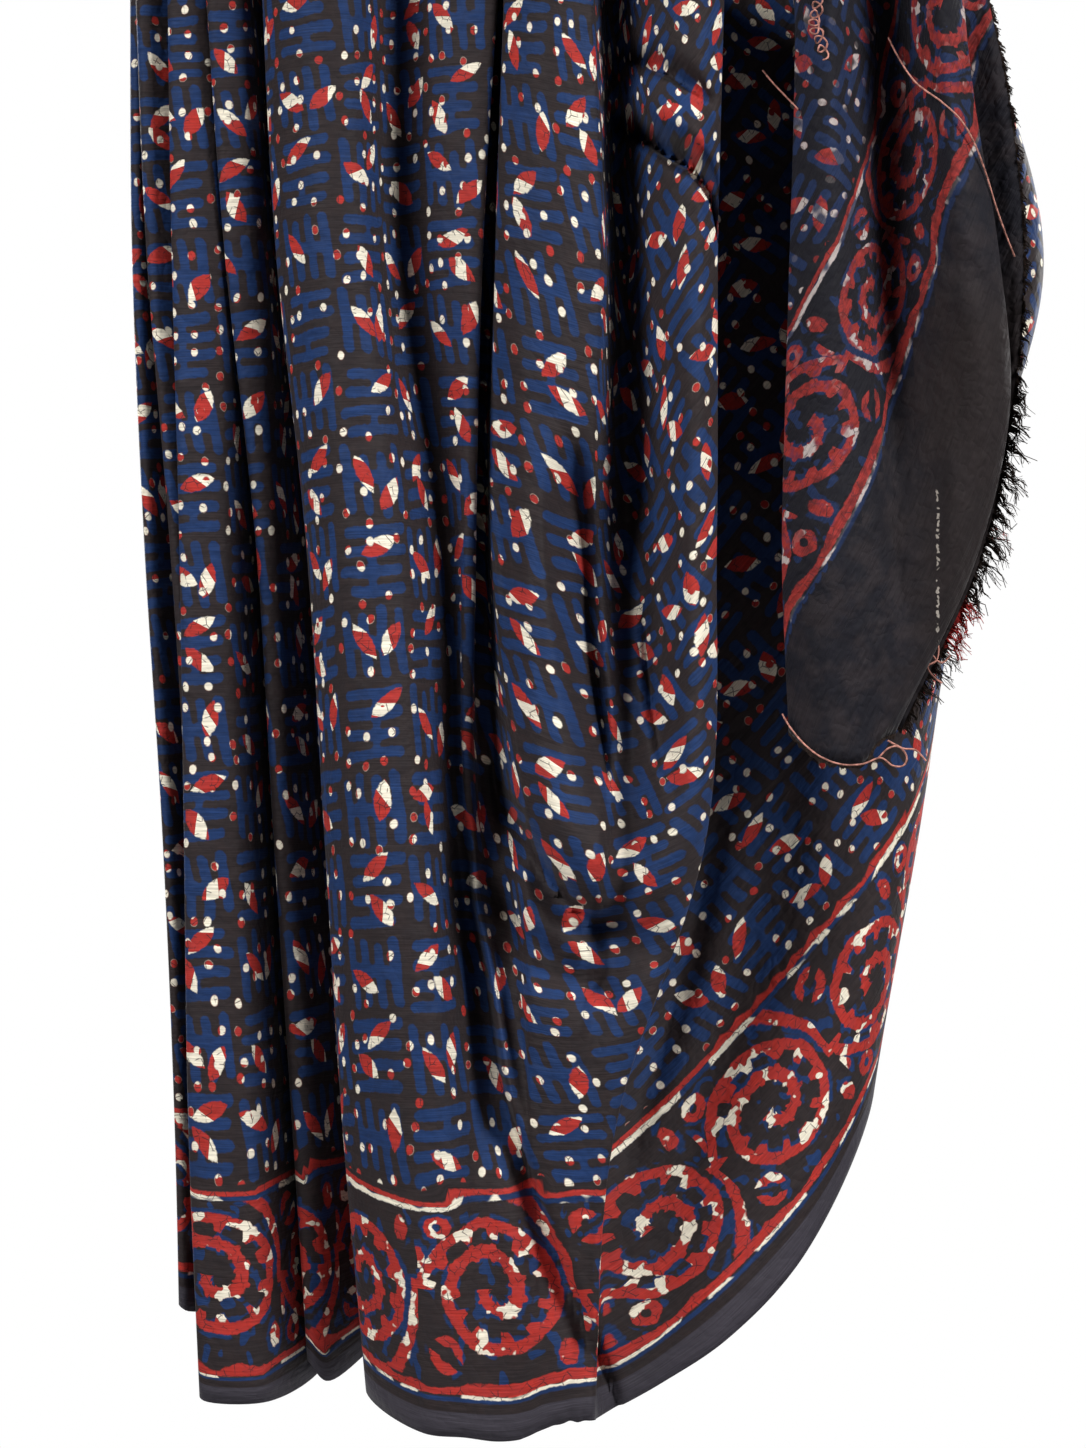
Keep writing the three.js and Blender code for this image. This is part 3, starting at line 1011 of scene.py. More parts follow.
    def group(self) -> NodeTree:
        """Makes the node group.

        Returns:
            A group that takes the place on the flat cloth and gives the masks of the three dyes.
        """
        made = NodeGroup("block print", FLAT_PLACE, DYES)
        flat = made.read("Flat")
        u, v, _ = split(flat)
        u = u + (noise(flat, 42.0) - 0.5) * self.waver
        v = v + (noise(flat, 33.0) - 0.5) * self.waver
        column, row = (u / self.block).floor(), ((v - self.foot) / self.block).floor()
        a = u - (column + 0.5) * self.block
        b = v - self.foot - (row + 0.5) * self.block
        upright = (column + row).math("FLOORED_MODULO", 2.0)
        p = blend(upright, a, b)
        q = blend(upright, b, a) + p * blend(upright, *self.lean)
        uneven = (noise(flat, 3.0, 2.0) - 0.5) * 1.5
        blue = self.strokes(p, q, upright, (column, row)) + uneven
        draws = [chance(made.tree, column, row, draw.value) for draw in (Draw.FIRST_LEAF, Draw.SECOND_LEAF)]
        first, first_cream = self.one_leaf(p, q, draws[0], self.pitch, 0.15)
        second, second_cream = self.one_leaf(p, q, draws[1], -0.7 * self.pitch, -1.2)
        leaf_cream = blend(first.over(second), first_cream, second_cream)
        dot, dot_cream = self.dots(u, v, uneven, blue)
        on_leaf = (first.least(second) + uneven).covers(RESIST_BLUR)
        on_dot = dot.covers(RESIST_BLUR)
        cream = blend(on_dot, leaf_cream, dot_cream)
        printed = on_leaf.most(on_dot)
        field_part = (v - self.foot).ramp(0.0, 1.0)
        made.give("Blue", blue.covers(DYE_BLUR) * field_part)
        made.give("Red", printed * (1.0 - cream) * field_part)
        made.give("Cream", printed * cream * field_part)
        return made.tree


@dataclass(frozen=True)
class Line:
    """One of the border's straight lines."""

    middle: float  # How far its middle is inside the border's edge, or outside it, if negative.
    half_width: float
    rough: float  # How rough its edges are, as a share.

    def outline(self, inside: Term, uneven: Term) -> Term:
        """Returns the distance from its outline, at a place so far inside the border's edge."""
        return abs(inside - self.middle) - self.half_width + uneven * self.rough


@dataclass(frozen=True)
class CornerMark:
    """A small ring or drop in a corner beside a scroll."""

    x: float  # How far its middle lies along the hem from the scroll's middle.
    z: float  # How far its middle lies above the scroll's middle.
    radius: float  # Its radius, or 0 for a drop.
    half_width: float  # Half the width of its stroke, or the radius of a drop.
    # How much of its width and of its height count: the less, the longer it is drawn out.
    squeeze: Pair = (1.0, 1.0)
    # Half the width of the slanting gap that opens a ring, or None for a closed one.
    gap: float | None = None

    def outline(self, a: Term, b: Term) -> Term:
        """Returns the distance from its outline, at a place so far from the scroll's middle."""
        x, z = (a - self.x) * self.squeeze[0], (b - self.z) * self.squeeze[1]
        stroke = abs(length(x, z) - self.radius) - self.half_width
        return stroke if self.gap is None else stroke.most(self.gap - abs(x + z * 1.4))


@dataclass(frozen=True)
class ScrollBorder:
    """The border: a running scroll between two lines, above the hem."""

    repeat: float = 101.0  # The distance between the middles of two scrolls, which face in turn up and down.
    middle: float = 92.0  # The height of the scrolls' middles.
    top: float = 155.0  # The upper edge of the upper line.
    foot: float = 33.0  # The middle of the lower line.
    strip: float = 17.5  # The height of the plain strip.
    upper_red: Line = Line(1.9, 1.8, 0.6)  # The red part of the upper line, from its upper edge down.
    upper_cream: Line = Line(5.6, 1.9, 1.0)  # The cream part of the upper line, from there as well.
    foot_half_width: Pair = (3.0, 4.0)  # Half the width of the lower line, and how much it swells.
    lower_cream: Line = Line(-4.0, 1.1, 0.8)  # The cream line below it, from its middle up.
    lower_blue: Line = Line(-6.2, 1.7, 0.5)  # The blue line below it, from there as well.
    waver: float = 5.0  # How far the scrolls wander from their places.
    arm: Pair = (44.5, 12.0)  # The radius at which its arm starts, and how much it closes in over a round.
    arm_width: Pair = (2.9, 2.6)  # How wide the arm is outside and inside its middle.
    flare: float = 6.5  # How much further out the arm starts.
    lobes: Pair = (11.0, 6.0)  # The number of lobes along the arm's inner side, and how far they stand in.
    coil: Pair = (30.5, 25.5)  # The same as the arm's for the inner coil.
    coil_half_width: Pair = (3.4, 1.8)  # Half its width, and how much wider it is at its bulges.
    stem: Pair = (49.5, 2.5)  # The radius of the stem that leads to the next scroll, and half its width.
    marks: tuple[CornerMark, ...] = (
        CornerMark(-35.0, -40.0, 8.0, 2.4, gap=6.0),
        CornerMark(-36.0, 43.0, 6.0, 2.2),
        CornerMark(41.0, -41.0, 0.0, 4.4, squeeze=(1.0, 0.6)),
        CornerMark(-49.0, 22.0, 0.0, 3.2, squeeze=(1.2, 0.55)),
    )
    rough: Pair = (2.4, 2.6)  # How rough the edges of the lines and of the scrolls are.
    bolder: float = 0.7  # How much bolder than drawn all strokes are.

    def lines(self) -> NodeTree:
        """Makes the node group of the two lines and the plain strip.

        Returns:
            A group that takes the place on the flat cloth and gives the masks of the dyes and the strip.
        """
        made = NodeGroup("border lines", FLAT_PLACE, {**DYES, "Strip": FLOAT})
        flat = made.read("Flat")
        _, v, _ = split(flat)
        uneven = (noise(flat, 5.0, 2.0) - 0.5) * self.rough[0]
        foot_half_width, foot_swell = self.foot_half_width
        swell = (noise(flat, 24.0) - 0.5) * foot_swell
        below_top = self.top - v
        above_foot = v - self.foot
        foot = abs(above_foot - swell) - foot_half_width - swell + uneven
        upper_cream = self.upper_cream.outline(below_top, uneven)
        broken = noise(flat, 16.0, 1.0, (1.6, 1.0)).ramp(0.46, 0.52)
        lower_cream = self.lower_cream.outline(above_foot, uneven).covers(DYE_BLUR) * broken
        made.give("Blue", upper_cream.least(self.lower_blue.outline(above_foot, uneven)).covers(0.8))
        made.give("Red", self.upper_red.outline(below_top, uneven).least(foot).covers(DYE_BLUR))
        made.give("Cream", (upper_cream.covers(DYE_BLUR) * broken).most(lower_cream))
        made.give("Strip", (v - self.strip).ramp(0.5, -0.5))
        return made.tree

    def scroll(self, a: Term, b: Term, shift: Term) -> Term:
        """Draws one scroll: its lobed arm, its coil and the stem to the next one.

        Args:
            a: The place along the hem from the scroll's middle.
            b: The height above its middle.
            shift: How far its lobes wander, in radians.

        Returns:
            The distance from its outline.
        """
        out = length(a, b)
        full_round = 2 * math.pi
        part = (math_node(a.tree, "ARCTAN2", b, a * -1.0) / full_round).math("FRACT")
        flare = (1.0 - part * 8.0).most(0.0)
        arm = self.arm[0] - part * self.arm[1] + flare * flare * self.flare
        wave = (part * (full_round * self.lobes[0]) + shift).math("SINE")
        lobes = wave.ramp(-0.1, 0.65, 0.0, self.lobes[1])
        outside, inside = self.arm_width
        band = (out - arm - outside).most(arm - inside - lobes - out)
        coil = self.coil[0] - part * self.coil[1]
        coil_half_width, bulge = self.coil_half_width
        coil = abs(out - coil) - coil_half_width - wave.ramp(0.3, 0.9, 0.0, bulge)
        stem, stem_half_width = self.stem
        stem = abs(out - (stem + b * b * 0.004)) - stem_half_width
        stem = stem.most((b * -1.0) - 6.0).most(a * -1.0)
        return band.least(coil).least(stem)

    def group(self) -> NodeTree:
        """Makes the node group of the scrolls.

        Returns:
            A group that takes the place on the flat cloth and gives the masks of the three dyes.
        """
        made = NodeGroup("scroll border", FLAT_PLACE, DYES)
        flat = made.read("Flat")
        u, v, _ = split(flat)
        turn = (u + (noise(flat, 30.0) - 0.5) * self.waver) / self.repeat
        cell = turn.floor()
        a = (turn - cell - 0.5) * self.repeat
        facing = 1.0 - cell.math("FLOORED_MODULO", 2.0) * 2.0
        b = (v - self.middle + (noise(flat, 26.0) - 0.5) * self.waver) * facing
        strokes = self.scroll(a, b, noise(flat, 20.0) * 4.0)
        for mark in self.marks:
            strokes = strokes.least(mark.outline(a, b))
        strokes = strokes + (noise(flat, 4.5, 2.0) - 0.5) * self.rough[1] - self.bolder
        room = (v - self.foot - 3.0).ramp(0.0, 1.5) * (self.top - 7.0 - v).ramp(0.0, 1.5)
        red = strokes.covers(DYE_BLUR) * room
        shadow = strokes.ramp(3.6, 2.2) * noise(flat, 19.0, 1.0).ramp(0.5, 0.55)
        blot = noise(flat, 11.0, 1.0, (1.0, 1.5)).ramp(0.64, 0.67)
        made.give("Blue", shadow.most(blot) * room)
        made.give("Red", red)
        made.give("Cream", noise(flat, 17.0, 2.0).ramp(0.60, 0.63) * red)
        return made.tree


# What the colours go towards in patches, and the colour in the resist's cracks.
WORN_GROUND = (0.012, 0.011, 0.014, 1)
DEEP_BLUE = (0.008, 0.02, 0.06, 1)
WORN_RED = (0.32, 0.03, 0.03, 1)
CRACK_COLOUR = (0.03, 0.015, 0.02, 1)


def dye_group() -> NodeTree:
    """Makes the node group that puts the dyes on the ground, with the resist's dark cracks.

    Returns:
        A group that takes the masks and the colours, and gives the cloth's colour.
    """
    masks = {name: (FLOAT, 0.0) for name in DYES}
    colours = {f"{name} Colour": (COLOUR, None) for name in ("Ground", *DYES)}
    made = NodeGroup("dyes", {**FLAT_PLACE, **masks, **colours}, {"Colour": COLOUR})
    tree = made.tree
    flat = made.read("Flat")
    patch = noise(flat, 9.0, 3.0)
    ground = blend_colour(patch.ramp(0.3, 0.7, 0.0, 0.35), made.read("Ground Colour"), WORN_GROUND)
    blue = blend_colour(patch.ramp(0.35, 0.75, 0.0, 0.4), made.read("Blue Colour"), DEEP_BLUE)
    red = blend_colour(patch.ramp(0.3, 0.7, 0.5, 0.0), made.read("Red Colour"), WORN_RED)
    colour = blend_colour(made.read("Blue"), ground, blue)
    colour = blend_colour(made.read("Red"), colour, red)
    colour = blend_colour(made.read("Cream"), colour, made.read("Cream Colour"))
    cracks = tree.nodes.new("ShaderNodeTexVoronoi")
    cracks.voronoi_dimensions = "2D"
    cracks.feature = "DISTANCE_TO_EDGE"
    cracks.inputs["Scale"].default_value = 0.16
    tree.links.new(flat.socket, cracks.inputs["Vector"])
    line = Term(cracks.outputs["Distance"]).ramp(0.075, 0.02)
    line = line * noise(flat, 7.0).ramp(0.45, 0.6)
    shown = line * made.read("Red").most(made.read("Cream")) * 0.8
    made.give("Colour", blend_colour(shown, colour, CRACK_COLOUR))
    return tree


def weave_group() -> NodeTree:
    """Makes the node group of the weave: fine uneven weft threads and soft crumples.

    Returns:
        A group that takes the place on the flat cloth and gives a shade about 1 and a height.
    """
    made = NodeGroup("weave", FLAT_PLACE, {"Shade": FLOAT, "Height": FLOAT})
    flat = made.read("Flat")
    slubs = noise(flat, 1.0, 2.0, (26.0, 0.9))
    crumple = noise(flat, 1.0, 2.0, (34.0, 9.0))
    wrinkles = abs(noise(flat, 16.0, 2.0) - 0.5)
    made.give("Shade", (slubs - 0.5) * 0.9 + 1.0)
    made.give("Height", slubs * 0.2 + crumple + wrinkles * 1.4)
    return made.tree


class Side(Enum):
    """Which side of the cloth a finish is for."""

    FACE = "face"
    REVERSE = "reverse"


class Zone(Enum):
    """Which part of the length a finish is for."""

    FIELD = "field"
    BORDER = "border"
    PLAIN = "plain"

    @property
    def slot(self) -> int:
        """Returns its place among the materials of one side."""
        return list(Zone).index(self)


@dataclass(frozen=True)
class ClothFinish:
    """How one side of the cloth looks, with colours in linear light."""

    side: Side
    ground: Colour
    blue: Colour
    red: Colour
    cream: Colour
    strip: Colour  # The plain strip along the hem.
    roughness: float
    crumple: float  # How much the fine crumples stand out.
    crumple_depth: float = 0.0024  # The depth of the deepest ones, in metres.
    sheen: float = 0.06  # How strong the soft sheen of the fibres is.
    sheen_roughness: float = 0.4  # How soft that sheen is.
    gloss: float = 0.2  # How much light it throws back like a polished surface.

    def material(self, zone: Zone, groups: dict[str, NodeTree]) -> Material:
        """Makes the material of one part of the length.

        Args:
            zone: The part.
            groups: The shader node groups by name.

        Returns:
            The material.
        """
        made, tree, shader = new_material(f"cloth_{zone.value}_{self.side.value}")
        flat = self.flat_place(tree)
        weave = place_group(tree, groups["weave"], Flat=flat)
        colour = self.plain(flat) if zone is Zone.PLAIN else self.printed(flat, zone, groups)
        colour = blend_colour(1.0, colour, weave["Shade"], "MULTIPLY")
        bump = tree.nodes.new("ShaderNodeBump")
        bump.inputs["Strength"].default_value = self.crumple
        bump.inputs["Distance"].default_value = self.crumple_depth
        plug(bump.inputs["Height"], weave["Height"])
        plug(shader.inputs["Base Color"], colour)
        plug(shader.inputs["Normal"], Term(bump.outputs["Normal"]))
        plug(shader.inputs["Roughness"], self.roughness)
        plug(shader.inputs["Sheen Weight"], self.sheen)
        plug(shader.inputs["Sheen Roughness"], self.sheen_roughness)
        plug(shader.inputs["Specular IOR Level"], self.gloss)
        return made

    def flat_place(self, tree: NodeTree) -> Term:
        """Returns the place on the flat cloth."""
        place = tree.nodes.new("ShaderNodeUVMap")
        place.uv_map = FLAT_MAP
        scale = tree.nodes.new("ShaderNodeVectorMath")
        scale.operation = "SCALE"
        scale.inputs["Scale"].default_value = 1.0 / MM
        tree.links.new(place.outputs[0], scale.inputs[0])
        return Term(scale.outputs[0])

    def plain(self, flat: Term) -> Term:
        """Returns the colour of the unprinted part, with its mottles."""
        colour = blend_colour(noise(flat, 20.0, 4.0).ramp(0.36, 0.66), self.ground, self.strip)
        return WEAR.on(colour) if self.side is Side.REVERSE else colour

    def printed(self, flat: Term, zone: Zone, groups: dict[str, NodeTree]) -> Term:
        """Puts the print on the ground.

        Args:
            flat: The place on the flat cloth.
            zone: The part of the length.
            groups: The shader node groups by name.

        Returns:
            The colour.
        """
        lines = place_group(flat.tree, groups["lines"], Flat=flat)
        motif = place_group(flat.tree, groups[zone.value], Flat=flat)
        masks = {name: lines[name].most(motif[name]) for name in DYES}
        if self.side is Side.REVERSE:
            masks["Cream"] = masks["Cream"] * noise(flat, 27.0, 2.0).ramp(0.47, 0.57, 0.1, 1.0)
            masks["Red"] = masks["Red"] * noise(flat, 6.0, 2.0).ramp(0.3, 0.6, 0.55, 1.0)
        colours = (self.ground, self.blue, self.red, self.cream)
        named = {f"{name}_Colour": colour for name, colour in zip(("Ground", *DYES), colours)}
        dyed = place_group(flat.tree, groups["dyes"], Flat=flat, **masks, **named)["Colour"]
        return blend_colour(lines["Strip"], dyed, self.strip) if zone is Zone.BORDER else dyed


@dataclass(frozen=True)
class Wear:
    """What time has done to the unprinted reverse of the hanging cloth."""

    brown: Colour = (0.0150, 0.0098, 0.0094, 1)  # The colour of the brown cast towards the raw edge.
    brown_x: Pair = (240.0, 300.0)  # Where the cast starts and where it is full, from left to right.
    brown_depth: Pair = (180.0, 260.0)  # The same, from the top down.
    floats: Colour = (0.36, 0.32, 0.28, 1)  # The colour of the broken line of loose weft threads.
    floats_x: float = 253.0  # Where that line hangs.
    floats_z: Pair = (-352.0, -452.0)  # The heights between which it runs.

    def on(self, colour: Term) -> Term:
        """Adds the brown cast and the line of weft floats.

        Args:
            colour: The colour of the plain part.

        Returns:
            The colour with both.
        """
        tree = colour.tree
        place = tree.nodes.new("ShaderNodeTexCoord")
        x, _, z = (part * (1.0 / MM) for part in split(Term(place.outputs["Object"])))
        spot = join(x, z, 0.0, tree)
        brown = (x + noise(spot, 60.0, 2.0) * 60.0).ramp(*self.brown_x)
        brown = brown * (z * -1.0).ramp(*self.brown_depth)
        colour = blend_colour(brown * 0.8, colour, self.brown)
        aside = abs(x - self.floats_x + (noise(spot, 50.0) - 0.5) * 4.0) - noise(spot, 3.0) * 1.6
        top, bottom = self.floats_z
        stretch = (z - bottom).ramp(0.0, 2.0) * (z - top).ramp(0.0, -2.0)
        dash = aside.ramp(0.3, -0.1) * stretch * noise(spot, 3.5).ramp(0.5, 0.62)
        return blend_colour(dash, colour, self.floats)


WEAR = Wear()
PRINTED_FACE = ClothFinish(
    side=Side.FACE,
    ground=(0.024, 0.0165, 0.017, 1),
    blue=(0.010, 0.033, 0.115, 1),
    red=(0.430, 0.029, 0.021, 1),
    cream=(0.860, 0.790, 0.640, 1),
    strip=(0.045, 0.040, 0.052, 1),
    roughness=0.7,
    crumple=0.55,
)
CHARCOAL_REVERSE = ClothFinish(
    side=Side.REVERSE,
    ground=(0.0060, 0.0056, 0.0100, 1),
    blue=(0.010, 0.021, 0.066, 1),
    red=(0.270, 0.026, 0.021, 1),
    cream=(0.460, 0.390, 0.370, 1),
    strip=(0.0180, 0.0140, 0.0170, 1),
    roughness=0.75,
    crumple=0.9,
)


# ===== The cloth =====

# The slope of the loose end's weft, and where the border's two lines run down its front, as (x, z).
LOOSE_GRAIN = -66.0
LOOSE_LOWER_LINE = ((280, -60), (277, -114), (251, -168), (248, -206), (209, -322), (190, -360), (155, -424))
LOOSE_UPPER_LINE = ((224, -90), (208, -136), (187, -184), (174, -210), (158, -251))


def corners(grid: Array, rises: bool) -> Array:
    """Returns the four corners of each patch of a grid, counter-clockwise seen from the printed face."""
    low, high = (grid[:-1], grid[1:]) if rises else (grid[1:], grid[:-1])
    patch = [high[:, :-1], low[:, :-1], low[:, 1:], high[:, 1:]]
    return np.stack(patch, axis=2).reshape(-1, 4, *grid.shape[2:])


@dataclass
class HangingCloth:
    """The whole length of cloth, one sheet from its left back edge to its raw end."""

    border: ScrollBorder  # The printed border, whose lines lie at their heights on the flat cloth.
    rows: int = 118  # The number of divisions down the hanging part.
    loose_rows: int = 62  # The number of divisions down the loose end.
    roll_rows: int = 10  # The number of divisions over the top.
    detail: int = 4  # The number of divisions for each step in the tables.
    thickness: float = 0.0006  # The thickness of the sheet, in metres.
    hem_hold: float = 50.0  # How strongly the hem is held at its height on the flat cloth.
    line_hold: float = 20.0  # How strongly the border's lines are held on the hanging part.
    loose_hold: float = 5.0  # How strongly they are held on the loose end.
    border_margin: float = 2.0  # How far above its upper line the border's finish goes.
    plain_margin: float = 9.0  # How far below its lower line the loose end's plain finish starts.
    raw_edge: Array = field(init=False)
    loose_hem: Array = field(init=False)

    def pinned(self, strip: FoldedStrip, points: Array) -> tuple[Array, Array]:
        """Holds the hem and the border's lines at their heights on the flat cloth.

        Args:
            strip: The hanging part.
            points: Its points.

        Returns:
            How strongly each point is held, and the height at which it is.
        """
        hold = np.zeros(points.shape[:2])
        height = np.zeros(points.shape[:2])
        hold[-1] = self.hem_hold
        places = np.array(strip.places)
        upper = [fold.border for fold in strip.folds]
        lower = [None if fold.strip is None else fold.hem + fold.strip for fold in strip.folds]
        for flat_height, crossings in ((self.border.top, upper), (self.border.foot, lower)):
            for index, (here, after) in enumerate(zip(crossings, crossings[1:])):
                if here is None or after is None:
                    continue
                for column in np.nonzero((places >= index) & (places <= index + 1))[0]:
                    z = here + (after - here) * (places[column] - index)
                    row = int(np.argmin(np.abs(points[:, column, 2] - z)))
                    hold[row, column] = self.line_hold
                    height[row, column] = flat_height
        return hold, height

    def build(self) -> Object:
        """Builds the sheet.

        Returns:
            The cloth object, with its flat map and its materials' places, and no materials yet.
        """
        hanging = FoldedStrip(HANGING_FOLDS, LEVEL_STEP, self.rows, self.detail, closeness=TUCK_ROWS)
        points = hanging.points()
        normals = surface_normals(points, rises=False)
        grain = hanging.spread(lambda fold: fold.grain, points[..., 2])
        seen = hanging.spread(lambda fold: fold.seen, points[..., 2])
        layout = FlatLayout(points, normals, grain, seen)
        flat = layout.lay(*self.pinned(hanging, points), (self.rows, hanging.column_of("front panel crest")))
        points = creased(hanging, points, HANGING_CREASES)

        loose = FoldedStrip(LOOSE_FOLDS, LOOSE_LEVEL_STEP, self.loose_rows, self.detail)
        front = loose.points()
        first, last = hanging.column_of(ROLL_FROM), hanging.column_of(ROLL_TO)
        back = points[0, first : last + 1]
        over = self.roll(back, front[0])
        loose_flat = self.lay_loose(loose, front)
        front = creased(loose, front, LOOSE_CREASES)
        self.raw_edge = np.stack([front[:, -1], front[:, -2]], axis=1)
        self.loose_hem = np.stack([front[-1], front[-2]], axis=1)
        end = np.concatenate([back[None], over, front[1:]])
        return self.make_object(points, flat, end, self.lead_over(end, loose_flat), first)

    def roll(self, back: Array, front: Array) -> Array:
        """Carries the cloth over the top.

        Args:
            back: The points at the top of the back layer.
            front: The points at the top of the loose end.

        Returns:
            The rows of the half-round roll after the first, with the last at the front.
        """
        rows = []
        for part in np.linspace(0.0, math.pi, self.roll_rows + 1)[1:]:
            middle = 0.5 * (back + front)
            row = middle + (back - middle) * math.cos(part)
            row[:, 2] += ROLL_HEIGHT * math.sin(part)
            rows.append(row)
        return np.stack(rows)

    def lead_over(self, end: Array, loose_flat: Array) -> Array:
        """Lays the rows of the roll flat, above the loose end's top row.

        Args:
            end: The points of the roll and the loose end.
            loose_flat: The places of the loose end on the flat cloth.

        Returns:
            The places of both on the flat cloth.
        """
        steps = np.linalg.norm(np.diff(end[: self.roll_rows + 1], axis=0), axis=-1).mean(axis=1)
        reach = steps[::-1].cumsum()[::-1]
        lead = loose_flat[0] + np.array([0.0, 1.0]) * reach[:, None, None]
        return np.concatenate([lead, loose_flat])

    def lay_loose(self, loose: FoldedStrip, points: Array) -> Array:
        """Lays the loose end flat, with the border where it shows through the reverse.

        Args:
            loose: The loose end.
            points: Its points.

        Returns:
            The places on the flat cloth.
        """
        hold = np.zeros(points.shape[:2])
        height = np.zeros(points.shape[:2])
        for flat_height, path in ((self.border.foot, LOOSE_LOWER_LINE), (self.border.top, LOOSE_UPPER_LINE)):
            path_x, path_z = np.array(path).T
            for row in range(points.shape[0]):
                z = points[row, 0, 2]
                if not path_z[-1] <= z <= path_z[0]:
                    continue
                x = np.interp(-z, -path_z, path_x)
                column = int(np.argmin(np.abs(points[row, :, 0] - x)))
                hold[row, column] = self.loose_hold
                height[row, column] = flat_height
        grain = np.full(points.shape[:2], LOOSE_GRAIN)
        layout = FlatLayout(points, surface_normals(points, rises=True), grain, np.ones(points.shape[:2]))
        return layout.lay(hold, height, (self.loose_rows // 2, loose.column_of("front roll")))

    def make_object(self, points: Array, flat: Array, end: Array, end_flat: Array, first: int) -> Object:
        """Joins the hanging part and the loose end in one mesh.

        Args:
            points: The points of the hanging part.
            flat: Their places on the flat cloth.
            end: The points of the loose end, whose first row is part of the hanging part's top row.
            end_flat: Their places on the flat cloth.
            first: The column of the hanging part at which that row starts.

        Returns:
            The cloth object.
        """
        rows, columns = points.shape[:2]
        numbers = np.arange(rows * columns).reshape(rows, columns)
        end_numbers = rows * columns + np.arange((end.shape[0] - 1) * end.shape[1]).reshape(-1, end.shape[1])
        seam = numbers[0, first : first + end.shape[1]]
        end_numbers = np.concatenate([seam[None], end_numbers])
        faces = np.concatenate([corners(numbers, False), corners(end_numbers, True)])
        flats = np.concatenate([corners(flat, False), corners(end_flat, True)])
        mesh = bpy.data.meshes.new("cloth")
        everything = np.concatenate([points.reshape(-1, 3), end[1:].reshape(-1, 3)]) * MM
        mesh.from_pydata(everything.tolist(), [], faces.tolist())
        mesh.uv_layers.new(name=FLAT_MAP).data.foreach_set("uv", (flats * MM).astype(np.float32).ravel())
        heights = flats[..., 1].mean(axis=1)
        zones = np.where(heights < self.border.top + self.border_margin, Zone.BORDER.slot, Zone.FIELD.slot)
        loose = np.arange(len(faces)) >= (rows - 1) * (columns - 1)
        zones[loose & (heights < self.border.foot - self.plain_margin)] = Zone.PLAIN.slot
        mesh.polygons.foreach_set("material_index", zones.astype(np.int32))
        mesh.polygons.foreach_set("use_smooth", np.ones(len(faces), bool))
        return new_object("printed_cloth", mesh)

    def dress(self, made: Object, groups: dict[str, NodeTree]) -> None:
        """Gives the sheet its thickness and its two sides' finishes.

        Args:
            made: The cloth object.
            groups: The shader node groups by name.
        """
        for finish in (PRINTED_FACE, CHARCOAL_REVERSE):
            for zone in Zone:
                made.data.materials.append(finish.material(zone, groups))
        solid = made.modifiers.new("sheet thickness", "SOLIDIFY")
        solid.thickness = self.thickness
        solid.offset = 0.0
        solid.material_offset = len(Zone)
        solid.material_offset_rim = 0


# ===== The frayed end: threads along the raw edge and a few that have pulled out =====


@dataclass(frozen=True)
class PulledThread:
    """A thread that has come out of the cloth and hangs free."""

    name: str
    route: tuple[Place, ...]  # Its points as (x, y, z).


PULLED_THREADS = (
    PulledThread(
        "across the slanting roll",
        (
            (224, 36, -58), (231, 22, -76), (240, 9, -92), (254, -3, -105), (267, -3, -117), (277, 4, -132),
            (285, 12, -150), (292, 18, -170), (299, 22, -188), (305, 27, -201),
        ),
    ),
    PulledThread(
        "out of the left edge",
        ((143, 44, -78), (149, 32, -88), (156, 20, -98), (164, 12, -108)),
    ),
    PulledThread(
        "along the bottom",
        (
            (154, 14, -497), (159, 8, -506), (167, 0, -516), (177, -4, -524), (190, -5, -529),
            (204, -3, -529), (216, 0, -525), (224, 2, -530), (231, 3, -530), (233, 3, -524), (228, 2, -518),
            (221, 1, -519), (215, 2, -525),
        ),
    ),
    PulledThread(
        "past the bottom corner",
        ((221, 4, -514), (231, 6, -519), (239, 8, -520), (246, 10, -527)),
    ),
    PulledThread(
        "hook at the raw edge",
        (
            (250, 24, -444), (255, 22, -452), (254, 20, -462), (248, 19, -466), (251, 18, -472),
            (257, 18, -477),
        ),
    ),
    PulledThread(
        "second hook",
        ((249, 24, -446), (251, 21, -458), (257, 20, -464), (263, 20, -459)),
    ),
)


@dataclass(frozen=True)
class Tangle:
    """A pulled thread that winds down in uneven loops."""

    middle: Place = (174.0, -5.0, -58.0)  # Its middle.
    width: float = 5.0  # How far its widest loop goes to each side.
    height: Pair = (36.0, 3.5)  # Its height, and the height of one loop to each side.
    turns: float = 6.5  # The number of loops.
    pieces: int = 60  # The number of pieces that it is made of.

    def thread(self) -> PulledThread:
        """Makes the thread."""
        (x, y, z), (height, loop) = self.middle, self.height
        route = []
        for part in (piece / self.pieces for piece in range(self.pieces + 1)):
            angle = 2 * math.pi * self.turns * part
            swing = self.width * (0.65 + 0.35 * math.sin(5.1 * angle / self.turns + 1.0))
            route.append((
                x + swing * math.sin(angle) + 5.0 * part - 2.0 * math.sin(3.0 * part),
                y + 2.2 * math.cos(angle * 1.3),
                z + height * (0.5 - part) + loop * math.cos(angle),
            ))
        return PulledThread("tangle", tuple(route))


